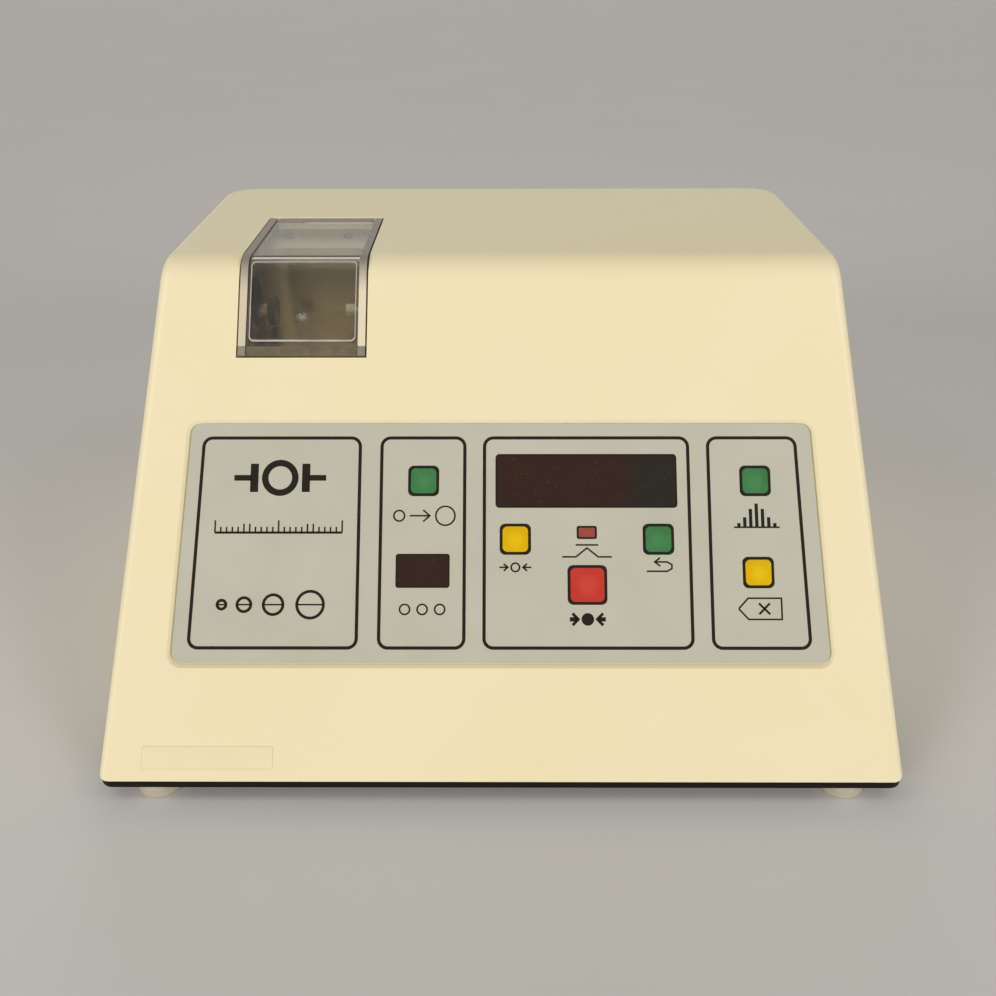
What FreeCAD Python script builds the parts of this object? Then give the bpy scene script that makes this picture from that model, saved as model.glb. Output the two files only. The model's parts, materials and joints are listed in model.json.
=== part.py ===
import FreeCAD, Part
import math
import os

V = FreeCAD.Vector

# A bench instrument that crushes a tablet between two jaws and shows the force.
# Frame: +X to the user's right, +Y away from the user, +Z up.
# The origin is on the table under the middle of the instrument. Sizes are in millimetres.

# Driving dimensions of the case
base_width = 405.0
base_depth = 353.0
cover_height = 213.0
front_slope_deg = 50.9
draft_deg = 4.9
cover_wall = 3.5
edge_radius = 7.0
rear_corner_radius = 18.0
shoulder_radius = 24.0
base_thickness = 4.6
base_inset = 0.6
foot_height = 8.4

# Driving dimensions of the lid and the chamber under it
lid_width = 67.9
lid_gap = 0.9
lid_front_length = 54.7
lid_proud = 0.3
lid_below = 6.0
lid_bend_radius = 14.0
chamber_side_room = 96.4
chamber_depth = 48.0
jaw_behind_shoulder = 23.9
rear_wall_behind_jaw = 25.0
opening_behind_rear_wall = 34.9
jaw_rise = 9.5
jaw_gap = 40.0
jaw_travel = 38.0
fixed_jaw_reach = 11.45
liner_sheet = 1.0
fit_gap = 0.3

# Driving dimensions of the keypad, measured up the slope from the cover's lower front edge
panel_bottom = 58.4
panel_height = 124.5
panel_top_width = 324.6
panel_bottom_width = 335.6
panel_corner = 5.5
recess_depth = 1.8
recess_bevel = 2.4
panel_gap = 0.15

# One overrun serves every cut, and points nearer than same_point are one point
overrun = 5.0
same_point = 0.0001

# Places worked out from the driving dimensions
slope = math.radians(front_slope_deg)
draft = math.radians(draft_deg)
cover_bottom = foot_height + base_thickness
top_z = cover_bottom + cover_height
front_y = -base_depth / 2
rear_y = base_depth / 2
shoulder_y = front_y + cover_height / math.tan(slope)
slope_length = cover_height / math.sin(slope)
lid_x = -(base_width / 2 - chamber_side_room)
lid_bottom = slope_length - lid_front_length
jaw_y = shoulder_y + jaw_behind_shoulder
floor_z = top_z - chamber_depth
jaw_z = floor_z + jaw_rise
rear_wall_y = jaw_y + rear_wall_behind_jaw
opening_rear_y = rear_wall_y + opening_behind_rear_wall
chamber_width = lid_width + 2 * lid_gap
chamber_left = lid_x - chamber_width / 2
chamber_right = lid_x + chamber_width / 2
fixed_face_x = chamber_left + fixed_jaw_reach
moving_face_x = fixed_face_x + jaw_gap


# Shapes

def box(x0, x1, y0, y1, z0, z1):
    return Part.makeBox(x1 - x0, y1 - y0, z1 - z0, V(x0, y0, z0))


def rod_x(radius, x0, x1, y=jaw_y, z=jaw_z):
    return Part.makeCylinder(radius, x1 - x0, V(x0, y, z), V(1, 0, 0))


def rod_z(radius, x, y, z0, z1):
    return Part.makeCylinder(radius, z1 - z0, V(x, y, z0))


def cone_z(radius0, radius1, x, y, z0, z1):
    return Part.makeCone(radius0, radius1, z1 - z0, V(x, y, z0))


def rounded_wire(points, radii, height=0):
    """A closed outline in the XY plane, each corner rounded by its own radius."""
    corners = [V(p[0], p[1], height) for p in points]
    edges = []
    ends = []
    for i, corner in enumerate(corners):
        before = (corners[i - 1] - corner).normalize()
        after = (corners[(i + 1) % len(corners)] - corner).normalize()
        radius = radii[i] if isinstance(radii, (list, tuple)) else radii
        half = math.acos(max(-1, min(1, before.dot(after)))) / 2
        setback = radius / math.tan(half)
        start = corner + before * setback
        end = corner + after * setback
        middle_way = (before + after).normalize()
        middle = corner + middle_way * (radius / math.sin(half) - radius)
        ends.append((start, middle, end, radius))
    for i, (start, middle, end, radius) in enumerate(ends):
        if radius:
            edges.append(Part.Arc(start, middle, end).toShape())
        following = ends[(i + 1) % len(ends)][0]
        if end.distanceToPoint(following) > same_point:
            edges.append(Part.makeLine(end, following))
    return Part.Wire(edges)


def plate(points, radii, z0, z1):
    face = Part.Face(rounded_wire(points, radii, z0))
    return face.extrude(V(0, 0, z1 - z0))


def rectangle(x, y, width, height):
    left, right = x - width / 2, x + width / 2
    low, high = y - height / 2, y + height / 2
    return [(left, low), (right, low), (right, high), (left, high)]


def tile(x, y, width, height, radius, z0, z1):
    return plate(rectangle(x, y, width, height), radius, z0, z1)


def side_prism(points, radii, x0, x1):
    """A prism along X from an outline given in (Y, Z)."""
    shape = plate(points, radii, 0, x1 - x0)
    shape.rotate(V(0, 0, 0), V(1, 1, 1), 120)
    shape.translate(V(x0, 0, 0))
    return shape


def on_front(shape):
    """From panel axes (X, up the slope, outward) to the cover's sloping front."""
    shape.rotate(V(0, 0, 0), V(1, 0, 0), front_slope_deg)
    shape.translate(V(0, front_y, cover_bottom))
    return shape


def on_rear(shape):
    """From panel axes (the viewer's right, up the wall, outward) to the cover's rear wall."""
    shape.rotate(V(0, 0, 0), V(1, 0, 0), 90)
    shape.rotate(V(0, 0, 0), V(0, 0, 1), 180)
    shape.rotate(V(0, 0, 0), V(1, 0, 0), draft_deg)
    shape.translate(V(0, rear_y, cover_bottom))
    return shape


def fuse(shapes):
    return shapes[0].multiFuse(shapes[1:]).removeSplitter()


def group(shapes):
    return Part.makeCompound(shapes)


def pan_screw(x, y, seat, head_radius, head_height, shank_radius, shank_length, way=1):
    """A pan-head screw along Z: the head stands on seat, the shank goes the other way."""
    head_top = seat + way * head_height
    shank_end = seat - way * shank_length
    head = Part.makeCylinder(head_radius, head_height, V(x, y, seat), V(0, 0, way))
    rim = [e for e in head.Edges if abs(e.CenterOfMass.z - head_top) < head_height / 4]
    head = head.makeFillet(head_height / 2, rim)
    slot_floor = head_top - way * head_height / 3
    slot = box(x - head_radius, x + head_radius, y - shank_radius / 4, y + shank_radius / 4,
               min(head_top, slot_floor), max(head_top, slot_floor))
    shank = rod_z(shank_radius, x, y, min(seat, shank_end), max(seat, shank_end))
    return fuse([head, shank]).cut(slot)


# Case

def front_offset_y(z, inset):
    """Y of the sloping front's plane at height z, moved in by inset."""
    return front_y + (z - cover_bottom) / math.tan(slope) + inset / math.sin(slope)


def rear_offset_y(z, inset):
    return rear_y - (z - cover_bottom) * math.tan(draft) - inset / math.cos(draft)


def side_offset_x(z, inset):
    return base_width / 2 - (z - cover_bottom) * math.tan(draft) - inset / math.cos(draft)


def sharp_edges(body, low):
    """The edges above low where two faces meet at an angle."""
    found = []
    for edge in body.Edges:
        middle = edge.valueAt((edge.FirstParameter + edge.LastParameter) / 2)
        if edge.BoundBox.ZMax < low + same_point:
            continue
        normals = [face.normalAt(*face.Surface.parameter(middle)) for face in body.Faces
                   if any(edge.isSame(other) for other in face.Edges)]
        if len(normals) == 2 and normals[0].getAngle(normals[1]) > math.radians(draft_deg):
            found.append(edge)
    return found


def case_form(inset, low=cover_bottom):
    """The solid that the cover's outside encloses, with every wall moved in by inset."""
    high = top_z - inset
    profile = [(front_offset_y(low, inset), low), (rear_offset_y(low, inset), low),
               (rear_offset_y(high, inset), high), (front_offset_y(high, inset), high)]
    elevation = [(-side_offset_x(low, inset), low), (side_offset_x(low, inset), low),
                 (side_offset_x(high, inset), high), (-side_offset_x(high, inset), high)]
    body = side_prism(profile, 0, -base_width, base_width)
    front_view = plate(elevation, 0, -base_depth, base_depth)
    front_view.rotate(V(0, 0, 0), V(1, 0, 0), 90)
    body = body.common(front_view)
    shoulder = [e for e in body.Edges
                if all(v.Point.z > high - same_point and v.Point.y < rear_y / 2 for v in e.Vertexes)]
    body = body.makeFillet(max(shoulder_radius - inset, shoulder_radius / 4), shoulder)
    rear_corners = [e for e in body.Edges
                    if e.BoundBox.ZLength > cover_height / 2 and e.BoundBox.YMin > rear_y / 2]
    body = body.makeFillet(max(rear_corner_radius - inset, rear_corner_radius / 4), rear_corners)
    return body.makeFillet(max(edge_radius - inset, edge_radius / 4), sharp_edges(body, low))


def profile_point(along, out):
    """(Y, Z) of a point on the front, along mm up the slope and out mm outside it."""
    return (front_y + along * math.cos(slope) - out * math.sin(slope),
            cover_bottom + along * math.sin(slope) + out * math.cos(slope))


def bend_point(out):
    """(Y, Z) where the front and the top meet, both moved outward by out."""
    return (shoulder_y - out * math.tan(slope / 2), top_z + out)


panel_outline = [(-panel_bottom_width / 2, panel_bottom), (panel_bottom_width / 2, panel_bottom),
                 (panel_top_width / 2, panel_bottom + panel_height),
                 (-panel_top_width / 2, panel_bottom + panel_height)]


def grown(outline, amount):
    """A four-cornered outline moved outward by amount on every side."""
    signs = [(-1, -1), (1, -1), (1, 1), (-1, 1)]
    return [(x + sx * amount, y + sy * amount) for (x, y), (sx, sy) in zip(outline, signs)]


# Keypad values: places of the columns and rows on the slope, and the sizes of what sits in them
count_column = -40.0
display_column = 44.8
statistics_column = 132.8
zero_column = 7.8
return_column = 81.8
display_row = 152.4
small_key_row = 121.8
lamp_row = 125.3
test_row = 98.2
count_row = 105.4
cancel_row = 104.6
key_size = 16.0
test_key_size = 20.2
key_corner = 2.8
key_pad_margin = 1.45
key_pad_rise = 0.25
key_gap = 0.12
key_flange = 1.2
key_flange_thickness = 0.25
key_travel = 0.35
sheet_thickness = 0.6
key_stop_gap = 0.05
sheet_below = 0.15
window_below = 0.22
window_corner = 2.0
main_window = (94.5, 28.4)
count_window = (27.8, 17.5)
lamp_window = (10.4, 6.8)
lamp_corner = 1.1
window_ledge = 2.0

keys = {
    "new_size_key": (count_column, display_row, key_size),
    "zero_key": (zero_column, small_key_row, key_size),
    "return_key": (return_column, small_key_row, key_size),
    "test_key": (display_column, test_row, test_key_size),
    "statistics_key": (statistics_column, display_row, key_size),
    "cancel_key": (statistics_column, cancel_row, key_size),
}
windows = {
    "main_display_window": (display_column, display_row, main_window, window_corner),
    "count_display_window": (count_column, count_row, count_window, window_corner * 0.7),
    "peak_hold_lens": (display_column, lamp_row, lamp_window, lamp_corner),
}

sheet_top = -sheet_below
sheet_bottom = sheet_top - sheet_thickness
flange_bottom = sheet_bottom - key_flange_thickness
spacer_bottom = flange_bottom - key_travel - key_stop_gap


def window_tile(name, growth, z0, z1):
    x, along, (width, height), radius = windows[name]
    return tile(x, along, width + 2 * growth, height + 2 * growth, radius + max(growth, -radius / 2), z0, z1)


def key_tile(name, growth, z0, z1):
    x, along, size = keys[name]
    return tile(x, along, size + 2 * growth, size + 2 * growth, key_corner + growth, z0, z1)


def keypad_sheet():
    sheet = plate(panel_outline, panel_corner, sheet_bottom, sheet_top)
    low, high = sheet_bottom - overrun, sheet_top + overrun
    holes = [key_tile(name, key_gap, low, high) for name in keys]
    holes += [window_tile(name, panel_gap / 3, low, high) for name in windows]
    return on_front(sheet.cut(holes))


def keypad_circuit():
    """The switch circuit, bonded to a spacer that leaves a pocket for each key to move in."""
    sheet = plate(panel_outline, panel_corner, -recess_depth, sheet_bottom)
    holes = [key_tile(name, key_flange + key_gap, spacer_bottom, sheet_bottom + overrun) for name in keys]
    holes += [window_tile(name, panel_gap / 3, -recess_depth - overrun, overrun) for name in windows]
    return on_front(sheet.cut(holes))


def key(name):
    flange = key_tile(name, key_flange, flange_bottom, sheet_bottom)
    cap = key_tile(name, 0, sheet_bottom, sheet_top)
    pad = key_tile(name, -key_pad_margin, sheet_top, sheet_top + key_pad_rise)
    return on_front(fuse([flange, cap, pad]))


def window(name):
    return on_front(window_tile(name, 0, -recess_depth, -window_below))


# Display board values: a board hung behind the front on pillars, carrying both displays
board_thickness = 1.6
board_depth = 13.5
board_margin = 12.0
module_gap = 1.0
module_margin = 2.2
pillar_radius = 3.0
pillar_inset = 4.5
small_screw_radius = 1.5
small_screw_head = 2.9
small_screw_head_height = 2.0
small_screw_length = 7.0

board_left = count_column - count_window[0] / 2 - board_margin
board_right = display_column + main_window[0] / 2 + board_margin
board_low = count_row - count_window[1] / 2 - board_margin
board_high = display_row + main_window[1] / 2 + board_margin
board_front = -board_depth
board_back = board_front - board_thickness
pillar_places = [(x, along)
                 for x in (board_left + pillar_inset, board_right - pillar_inset)
                 for along in (board_low + pillar_inset, board_high - pillar_inset)]


def display_board():
    width, height = board_right - board_left, board_high - board_low
    board = tile((board_left + board_right) / 2, (board_low + board_high) / 2, width, height,
                 pillar_inset / 2, board_back, board_front)
    holes = [rod_z(small_screw_radius + fit_gap / 2, x, along, board_back - overrun, board_front + overrun)
             for x, along in pillar_places]
    lamp_width, lamp_height = lamp_window
    lamp = tile(display_column, lamp_row, lamp_width / 2, lamp_height / 2, lamp_corner,
                board_front, -cover_wall - module_gap)
    return on_front(fuse([board.cut(holes), lamp]))


def display_module(name):
    return on_front(window_tile(name, -module_margin, board_front, -cover_wall - module_gap))


def board_pillars():
    """Pillars moulded inside the cover's front, each with its screw hole."""
    root = -(cover_wall + recess_depth) / 2
    pillars = [rod_z(pillar_radius, x, along, board_front, root) for x, along in pillar_places]
    holes = [rod_z(small_screw_radius, x, along, board_front - overrun, board_back + small_screw_length)
             for x, along in pillar_places]
    return on_front(group(pillars)), on_front(group(holes))


def board_screws():
    return on_front(group([pan_screw(x, along, board_back, small_screw_head, small_screw_head_height,
                                     small_screw_radius, small_screw_length, -1)
                           for x, along in pillar_places]))


# Rear fittings values: a panel in a notch at the foot of the rear wall
rear_panel_x = 70.0
rear_panel_width = 190.0
rear_panel_height = 62.0
rear_panel_sheet = 1.5
rear_panel_recess = 1.5
rear_panel_foot = 14.0
rear_row = 32.0
inlet_offset = 62.0
inlet_flange = (50.0, 36.0)
inlet_flange_thickness = 2.0
inlet_corner = 2.5
inlet_body = (45.0, 31.0)
inlet_body_depth = 27.0
socket_size = (24.6, 16.6)
socket_depth = 17.0
socket_drop = 4.6
socket_corner = 3.2
pin_size = (2.0, 4.0)
pin_reach = 14.0
pin_spread = 7.0
pin_stagger = 2.0
drawer_size = (26.0, 8.0)
drawer_rise = 10.6
drawer_depth = 20.0
drawer_gap = 0.1
drawer_lip = 1.0
drawer_travel = 14.0
switch_offset = 4.0
switch_bezel = (30.0, 24.0)
switch_bezel_thickness = 2.0
switch_body = (27.0, 21.5)
switch_depth = 20.0
rocker_size = (22.0, 16.0)
rocker_gap = 0.25
rocker_tilt_deg = 9.0
rocker_pivot_below = 4.2
rocker_pin_radius = 1.25
rocker_pin_gap = 0.05
rocker_thickness = 5.0
port_offset = -55.0
port_flange = (53.0, 12.6)
port_flange_thickness = 1.2
port_shell = (38.9, 8.4)
port_shell_slant = 1.4
port_shell_reach = 5.2
port_shell_corner = 2.2
port_core_depth = 9.0
port_nut_radius = 2.4
port_nut_spread = 23.5
port_nut_reach = 3.2

panel_out = -rear_panel_recess
panel_in = panel_out - rear_panel_sheet
inlet_x = -rear_panel_x + inlet_offset
switch_x = -rear_panel_x + switch_offset
port_x = -rear_panel_x + port_offset


def rear_panel():
    face = tile(-rear_panel_x, rear_panel_height / 2, rear_panel_width, rear_panel_height, 0,
                panel_in, panel_out)
    low, high = panel_in - overrun, panel_out + overrun
    inlet = tile(inlet_x, rear_row, inlet_body[0] + fit_gap, inlet_body[1] + fit_gap, 0, low, high)
    switch = tile(switch_x, rear_row, switch_body[0] + fit_gap, switch_body[1] + fit_gap, 0, low, high)
    port = tile(port_x, rear_row, port_shell[0] + 2 * fit_gap, port_shell[1] + 2 * fit_gap, 0, low, high)
    nuts = [rod_z(port_nut_radius + fit_gap / 2, port_x + side * port_nut_spread, rear_row, low, high)
            for side in (-1, 1)]
    face = on_rear(face.cut([inlet, switch, port] + nuts))
    face = face.cut(box(-base_width, base_width, 0, base_depth, -overrun, cover_bottom))
    inner_y = rear_offset_y(cover_bottom, rear_panel_recess)
    foot = box(rear_panel_x - rear_panel_width / 2, rear_panel_x + rear_panel_width / 2,
               inner_y - rear_panel_foot, inner_y, cover_bottom, cover_bottom + rear_panel_sheet)
    return fuse([face, foot])


def mains_inlet():
    flange = tile(inlet_x, rear_row, inlet_flange[0], inlet_flange[1], inlet_corner,
                  panel_out, panel_out + inlet_flange_thickness)
    body = tile(inlet_x, rear_row, inlet_body[0], inlet_body[1], 0, panel_out - inlet_body_depth, panel_out)
    face = panel_out + inlet_flange_thickness
    socket_row = rear_row - socket_drop
    upper = socket_corner
    socket = plate(rectangle(inlet_x, socket_row, socket_size[0], socket_size[1]),
                   [inlet_corner / 2, inlet_corner / 2, upper, upper], face - socket_depth, face + overrun)
    drawer_row = rear_row + drawer_rise
    drawer = tile(inlet_x, drawer_row, drawer_size[0] + 2 * drawer_gap, drawer_size[1] + 2 * drawer_gap, 0,
                  face - drawer_depth - drawer_gap, face + overrun)
    shell = fuse([flange, body]).cut([socket, drawer])
    pins = []
    for side in (-1, 0, 1):
        row = socket_row + (pin_stagger if side == 0 else -pin_stagger / 2)
        pins.append(tile(inlet_x + side * pin_spread, row, pin_size[0], pin_size[1], 0,
                         face - socket_depth - pin_size[0], face - socket_depth + pin_reach))
    return on_rear(fuse([shell] + pins))


def fuse_drawer():
    face = panel_out + inlet_flange_thickness
    drawer_row = rear_row + drawer_rise
    body = tile(inlet_x, drawer_row, drawer_size[0], drawer_size[1], 0, face - drawer_depth, face)
    well = tile(inlet_x, drawer_row + drawer_size[1] / 4, drawer_size[0] - 2 * drawer_size[1] / 4,
                drawer_size[1], 0, face - drawer_depth * 0.9, face - drawer_depth / 4)
    lip = tile(inlet_x, drawer_row, drawer_size[0] / 2, drawer_size[1] / 4, 0, face, face + drawer_lip)
    return on_rear(fuse([body.cut(well), lip]))


def power_switch():
    face = panel_out + switch_bezel_thickness
    bezel = tile(switch_x, rear_row, switch_bezel[0], switch_bezel[1], inlet_corner, panel_out, face)
    body = tile(switch_x, rear_row, switch_body[0], switch_body[1], 0, panel_out - switch_depth, panel_out)
    well = tile(switch_x, rear_row, rocker_size[0] + 2 * rocker_gap, rocker_size[1] + 2 * rocker_gap, 0,
                face - switch_depth / 2, face + overrun)
    shell = fuse([bezel, body]).cut(well)
    pivot_z = face - rocker_pivot_below
    trunnion = Part.makeCylinder(rocker_pin_radius, rocker_size[1] + 2 * rocker_gap,
                                 V(switch_x, rear_row - rocker_size[1] / 2 - rocker_gap, pivot_z), V(0, 1, 0))
    return on_rear(fuse([shell, trunnion]))


def power_rocker():
    face = panel_out + switch_bezel_thickness
    pivot_z = face - rocker_pivot_below
    half = rocker_size[0] / 2
    lean = math.tan(math.radians(rocker_tilt_deg))
    dip = half * lean
    low = pivot_z - rocker_thickness / 2
    high = face - 2 * rocker_gap
    upper_half = half - (high + dip / 4 - pivot_z) * lean
    lower_half = half - (pivot_z - low) * lean
    outline = [(-upper_half, high + dip / 4), (-lower_half, low + dip / 2), (0, low),
               (lower_half, low + dip / 2), (upper_half, high + dip / 4), (0, high - dip / 4)]
    body = plate(outline, 0, -rocker_size[1] / 2, rocker_size[1] / 2)
    body.rotate(V(0, 0, 0), V(1, 0, 0), 90)
    bore = Part.makeCylinder(rocker_pin_radius + rocker_pin_gap, 2 * rocker_size[1],
                             V(0, -rocker_size[1], pivot_z), V(0, 1, 0))
    body = body.cut(bore)
    body.rotate(V(0, 0, pivot_z), V(0, 1, 0), rocker_tilt_deg)
    body.translate(V(switch_x, rear_row, 0))
    return on_rear(body)


def printer_port():
    flange = tile(port_x, rear_row, port_flange[0], port_flange[1], port_shell_corner / 2,
                  panel_in - port_flange_thickness, panel_in)
    half, rise = port_shell[0] / 2, port_shell[1] / 2
    low_half = half - port_shell_slant
    outline = [(port_x - low_half, rear_row - rise), (port_x + low_half, rear_row - rise),
               (port_x + half, rear_row + rise), (port_x - half, rear_row + rise)]
    shell = plate(outline, port_shell_corner, panel_in, panel_in + port_shell_reach)
    inner = grown(outline, -rear_panel_sheet / 2)
    hollow = plate(inner, port_shell_corner / 2, panel_in + port_shell_reach / 2,
                   panel_in + port_shell_reach + overrun)
    core = plate(outline, port_shell_corner, panel_in - port_flange_thickness - port_core_depth,
                 panel_in - port_flange_thickness)
    nuts = [rod_z(port_nut_radius, port_x + side * port_nut_spread, rear_row,
                  panel_in, panel_in + port_nut_reach) for side in (-1, 1)]
    return on_rear(fuse([flange, shell, core] + nuts).cut(hollow))


# Fixing values: corner bosses in the cover, their screws, and the feet
boss_radius = 5.5
boss_height = 42.0
boss_from_side = 11.0
boss_from_front = 30.0
boss_from_rear = 22.0
cover_screw_radius = 2.0
cover_screw_head = 3.8
cover_screw_head_height = 2.4
cover_screw_length = 14.0
foot_radius = 11.6
foot_lower_radius = 11.4
foot_edge = 1.0
foot_from_side = 27.65
foot_from_front = 12.4
foot_from_rear = 28.0
foot_well_radius = 5.0
foot_well_depth = 5.0
foot_screw_radius = 2.0
foot_screw_head = 4.0
foot_screw_head_height = 2.4
foot_nut_radius = 3.8
foot_nut_height = 3.0

boss_places = [(side * (base_width / 2 - boss_from_side), y)
               for side in (-1, 1) for y in (front_y + boss_from_front, rear_y - boss_from_rear)]
foot_places = [(side * (base_width / 2 - foot_from_side), y)
               for side in (-1, 1) for y in (front_y + foot_from_front, rear_y - foot_from_rear)]


def lid_cutter():
    deep = cover_wall + overrun
    points = [profile_point(lid_bottom - lid_gap, overrun), profile_point(lid_bottom - lid_gap, -deep),
              (opening_rear_y, top_z - deep), (opening_rear_y, top_z + overrun), bend_point(overrun)]
    return side_prism(points, 0, chamber_left, chamber_right)


def cover_shell():
    outside = case_form(0)
    shell = outside.cut(case_form(cover_wall, cover_bottom - overrun))
    bosses = []
    for x, y in boss_places:
        boss = rod_z(boss_radius, x, y, cover_bottom, cover_bottom + boss_height)
        wall_x = base_width / 2 if x > 0 else -base_width / 2
        web = box(min(x, wall_x), max(x, wall_x), y - cover_wall / 2, y + cover_wall / 2,
                  cover_bottom, cover_bottom + boss_height)
        bosses.append(boss.fuse(web).common(outside))
    pillars, pillar_holes = board_pillars()
    shell = shell.multiFuse(bosses + [pillars])
    pilots = [rod_z(cover_screw_radius, x, y, cover_bottom - overrun, cover_bottom + cover_screw_length)
              for x, y in boss_places]
    floor = rounded_wire(grown(panel_outline, panel_gap), panel_corner + panel_gap, -recess_depth)
    brim = rounded_wire(grown(panel_outline, panel_gap + recess_bevel), panel_corner + recess_bevel, 0)
    recess = Part.makeLoft([floor, brim], True, True)
    recess = recess.fuse(Part.Face(brim).extrude(V(0, 0, overrun)))
    apertures = [window_tile(name, -window_ledge, -cover_wall - overrun, overrun) for name in windows]
    panel_cuts = on_front(group([recess] + apertures))
    notch = on_rear(tile(-rear_panel_x, 0, rear_panel_width + 2 * fit_gap,
                         2 * (rear_panel_height + fit_gap), 0, -cover_wall - overrun, overrun))
    return shell.cut(pilots + [pillar_holes, panel_cuts, notch, lid_cutter()])


def base_plate():
    outline = rectangle(0, 0, base_width - 2 * base_inset, base_depth - 2 * base_inset)
    radii = [edge_radius, edge_radius, rear_corner_radius, rear_corner_radius]
    plan = plate(outline, radii, foot_height, cover_bottom)
    holes = [rod_z(cover_screw_radius + fit_gap, x, y, foot_height - overrun, cover_bottom + overrun)
             for x, y in boss_places]
    holes += [rod_z(foot_screw_radius + fit_gap / 2, x, y, foot_height - overrun, cover_bottom + overrun)
              for x, y in foot_places]
    width, depth = board_size
    standoffs = [rod_z(main_standoff_radius, board_x + sx * (width / 2 - main_standoff_inset),
                       board_y + sy * (depth / 2 - main_standoff_inset), foot_height,
                       cover_bottom + main_standoff_height) for sx in (-1, 1) for sy in (-1, 1)]
    return fuse([plan.cut(holes)] + standoffs)


def feet():
    solids = []
    for x, y in foot_places:
        foot = cone_z(foot_lower_radius, foot_radius, x, y, 0, foot_height)
        rim = [e for e in foot.Edges if e.BoundBox.ZMax < foot_height / 4 and e.Length > foot_lower_radius]
        foot = foot.makeFillet(foot_edge, rim)
        well = rod_z(foot_well_radius, x, y, -overrun, foot_well_depth)
        hole = rod_z(foot_screw_radius + fit_gap / 2, x, y, 0, foot_height + overrun)
        solids.append(foot.cut([well, hole]))
    return group(solids)


def foot_screws():
    length = cover_bottom + foot_nut_height - foot_well_depth
    screws = []
    for x, y in foot_places:
        screw = pan_screw(x, y, foot_well_depth, foot_screw_head, foot_screw_head_height,
                          foot_screw_radius, length, -1)
        nut = Part.makePolygon([V(x + foot_nut_radius * math.cos(math.radians(60 * i)),
                                  y + foot_nut_radius * math.sin(math.radians(60 * i)), cover_bottom)
                                for i in range(7)])
        nut = Part.Face(nut).extrude(V(0, 0, foot_nut_height))
        screws.append(screw.fuse(nut))
    return group(screws)


def cover_screws():
    return group([pan_screw(x, y, foot_height, cover_screw_head, cover_screw_head_height, cover_screw_radius,
                            base_thickness + cover_screw_length - fit_gap, -1) for x, y in boss_places])


# Lid values
lid_side = 3.9
lid_pane = 2.4
lid_pane_below_sides = 0.7
lid_strip_height = 5.5
hinge_pin_radius = 0.8
hinge_running_gap = 0.05
hinge_bar_side_gap = 1.6
hinge_bar_depth = 8.2
hinge_rear_gap = 1.1
pane_swing_gap = 0.5
flange_below_top = 10.4

flange_z = top_z - flange_below_top
lid_left = lid_x - lid_width / 2
lid_right = lid_x + lid_width / 2
lid_inner_left = lid_left + lid_side
lid_inner_right = lid_right - lid_side
pane_out = lid_proud - lid_pane_below_sides
pane_in = pane_out - lid_pane
knuckle_radius = (lid_proud + lid_below) / 2
hinge_bar_rear_y = opening_rear_y - hinge_rear_gap
hinge_bar_y = hinge_bar_rear_y - hinge_bar_depth
hinge_bar_top = top_z + pane_out
hinge_y = hinge_bar_rear_y - knuckle_radius
hinge_z = top_z + lid_proud - knuckle_radius
pane_rear_y = hinge_y - math.hypot(hinge_y - hinge_bar_y, hinge_bar_top - hinge_z) - pane_swing_gap


def lid_side_plate(x0, x1):
    """One side of the lid, level with the cover. Its rear end is round about the hinge pin."""
    start = lid_bottom + lid_strip_height
    points = [profile_point(start, lid_proud), profile_point(start, -lid_below), bend_point(-lid_below),
              (hinge_y, top_z - lid_below), (hinge_y, top_z + lid_proud), bend_point(lid_proud)]
    radii = [0, 0, lid_bend_radius - lid_proud - lid_below, 0, 0, lid_bend_radius]
    side = fuse([side_prism(points, radii, x0, x1), rod_x(knuckle_radius, x0, x1, hinge_y, hinge_z)])
    return side.cut(rod_x(hinge_pin_radius + hinge_running_gap, x0 - overrun, x1 + overrun, hinge_y, hinge_z))


def lid_pane_solid():
    start = lid_bottom + lid_strip_height
    points = [profile_point(start, pane_out), profile_point(start, pane_in), bend_point(pane_in),
              (pane_rear_y, top_z + pane_in), (pane_rear_y, top_z + pane_out), bend_point(pane_out)]
    outer_bend = lid_bend_radius - lid_pane_below_sides
    radii = [0, 0, outer_bend - lid_pane, 0, 0, outer_bend]
    return side_prism(points, radii, lid_inner_left, lid_inner_right)


def lid_lower_strip():
    return on_front(box(lid_inner_left, lid_inner_right, lid_bottom, lid_bottom + lid_strip_height,
                        -lid_below, pane_out))


def lid_corner_blocks():
    pieces = [box(x0, x1, lid_bottom, lid_bottom + lid_strip_height, -lid_below, lid_proud)
              for x0, x1 in ((lid_left, lid_inner_left), (lid_inner_right, lid_right))]
    return on_front(group(pieces))


def lid_hinge_block():
    """The bar between the lid's sides. It stands on the liner's rear flange and holds the pin."""
    bar = box(lid_inner_left + hinge_bar_side_gap, lid_inner_right - hinge_bar_side_gap,
              hinge_bar_y, hinge_bar_rear_y, flange_z, hinge_bar_top)
    return bar.cut(rod_x(hinge_pin_radius, lid_left, lid_right, hinge_y, hinge_z))


def lid_hinge_pin():
    left = lid_left + hinge_pin_radius
    right = lid_right - hinge_pin_radius
    return rod_x(hinge_pin_radius, left, right, hinge_y, hinge_z)


# Chamber values
liner_corner = 16.0
jaw_hole_radius = 14.0
jaw_hole_rise = 5.5
plunger_hole_radius = 5.0
flange_depth = 38.5
flange_screw_spread = 17.6
flange_screw_offset = -3.8
flange_screw_back = 21.5
bracket_sheet = 1.5
bracket_foot = 14.0
bracket_side_inset = 8.0
floor_screw_offset = -12.0
floor_screw_back = 12.0
floor_screw_head = 3.85
floor_screw_head_height = 2.4

flange_screw_places = [(lid_x + flange_screw_offset + side * flange_screw_spread,
                        rear_wall_y + flange_screw_back) for side in (-1, 1)]
floor_screw_x = lid_x + floor_screw_offset
floor_screw_y = jaw_y + floor_screw_back


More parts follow.
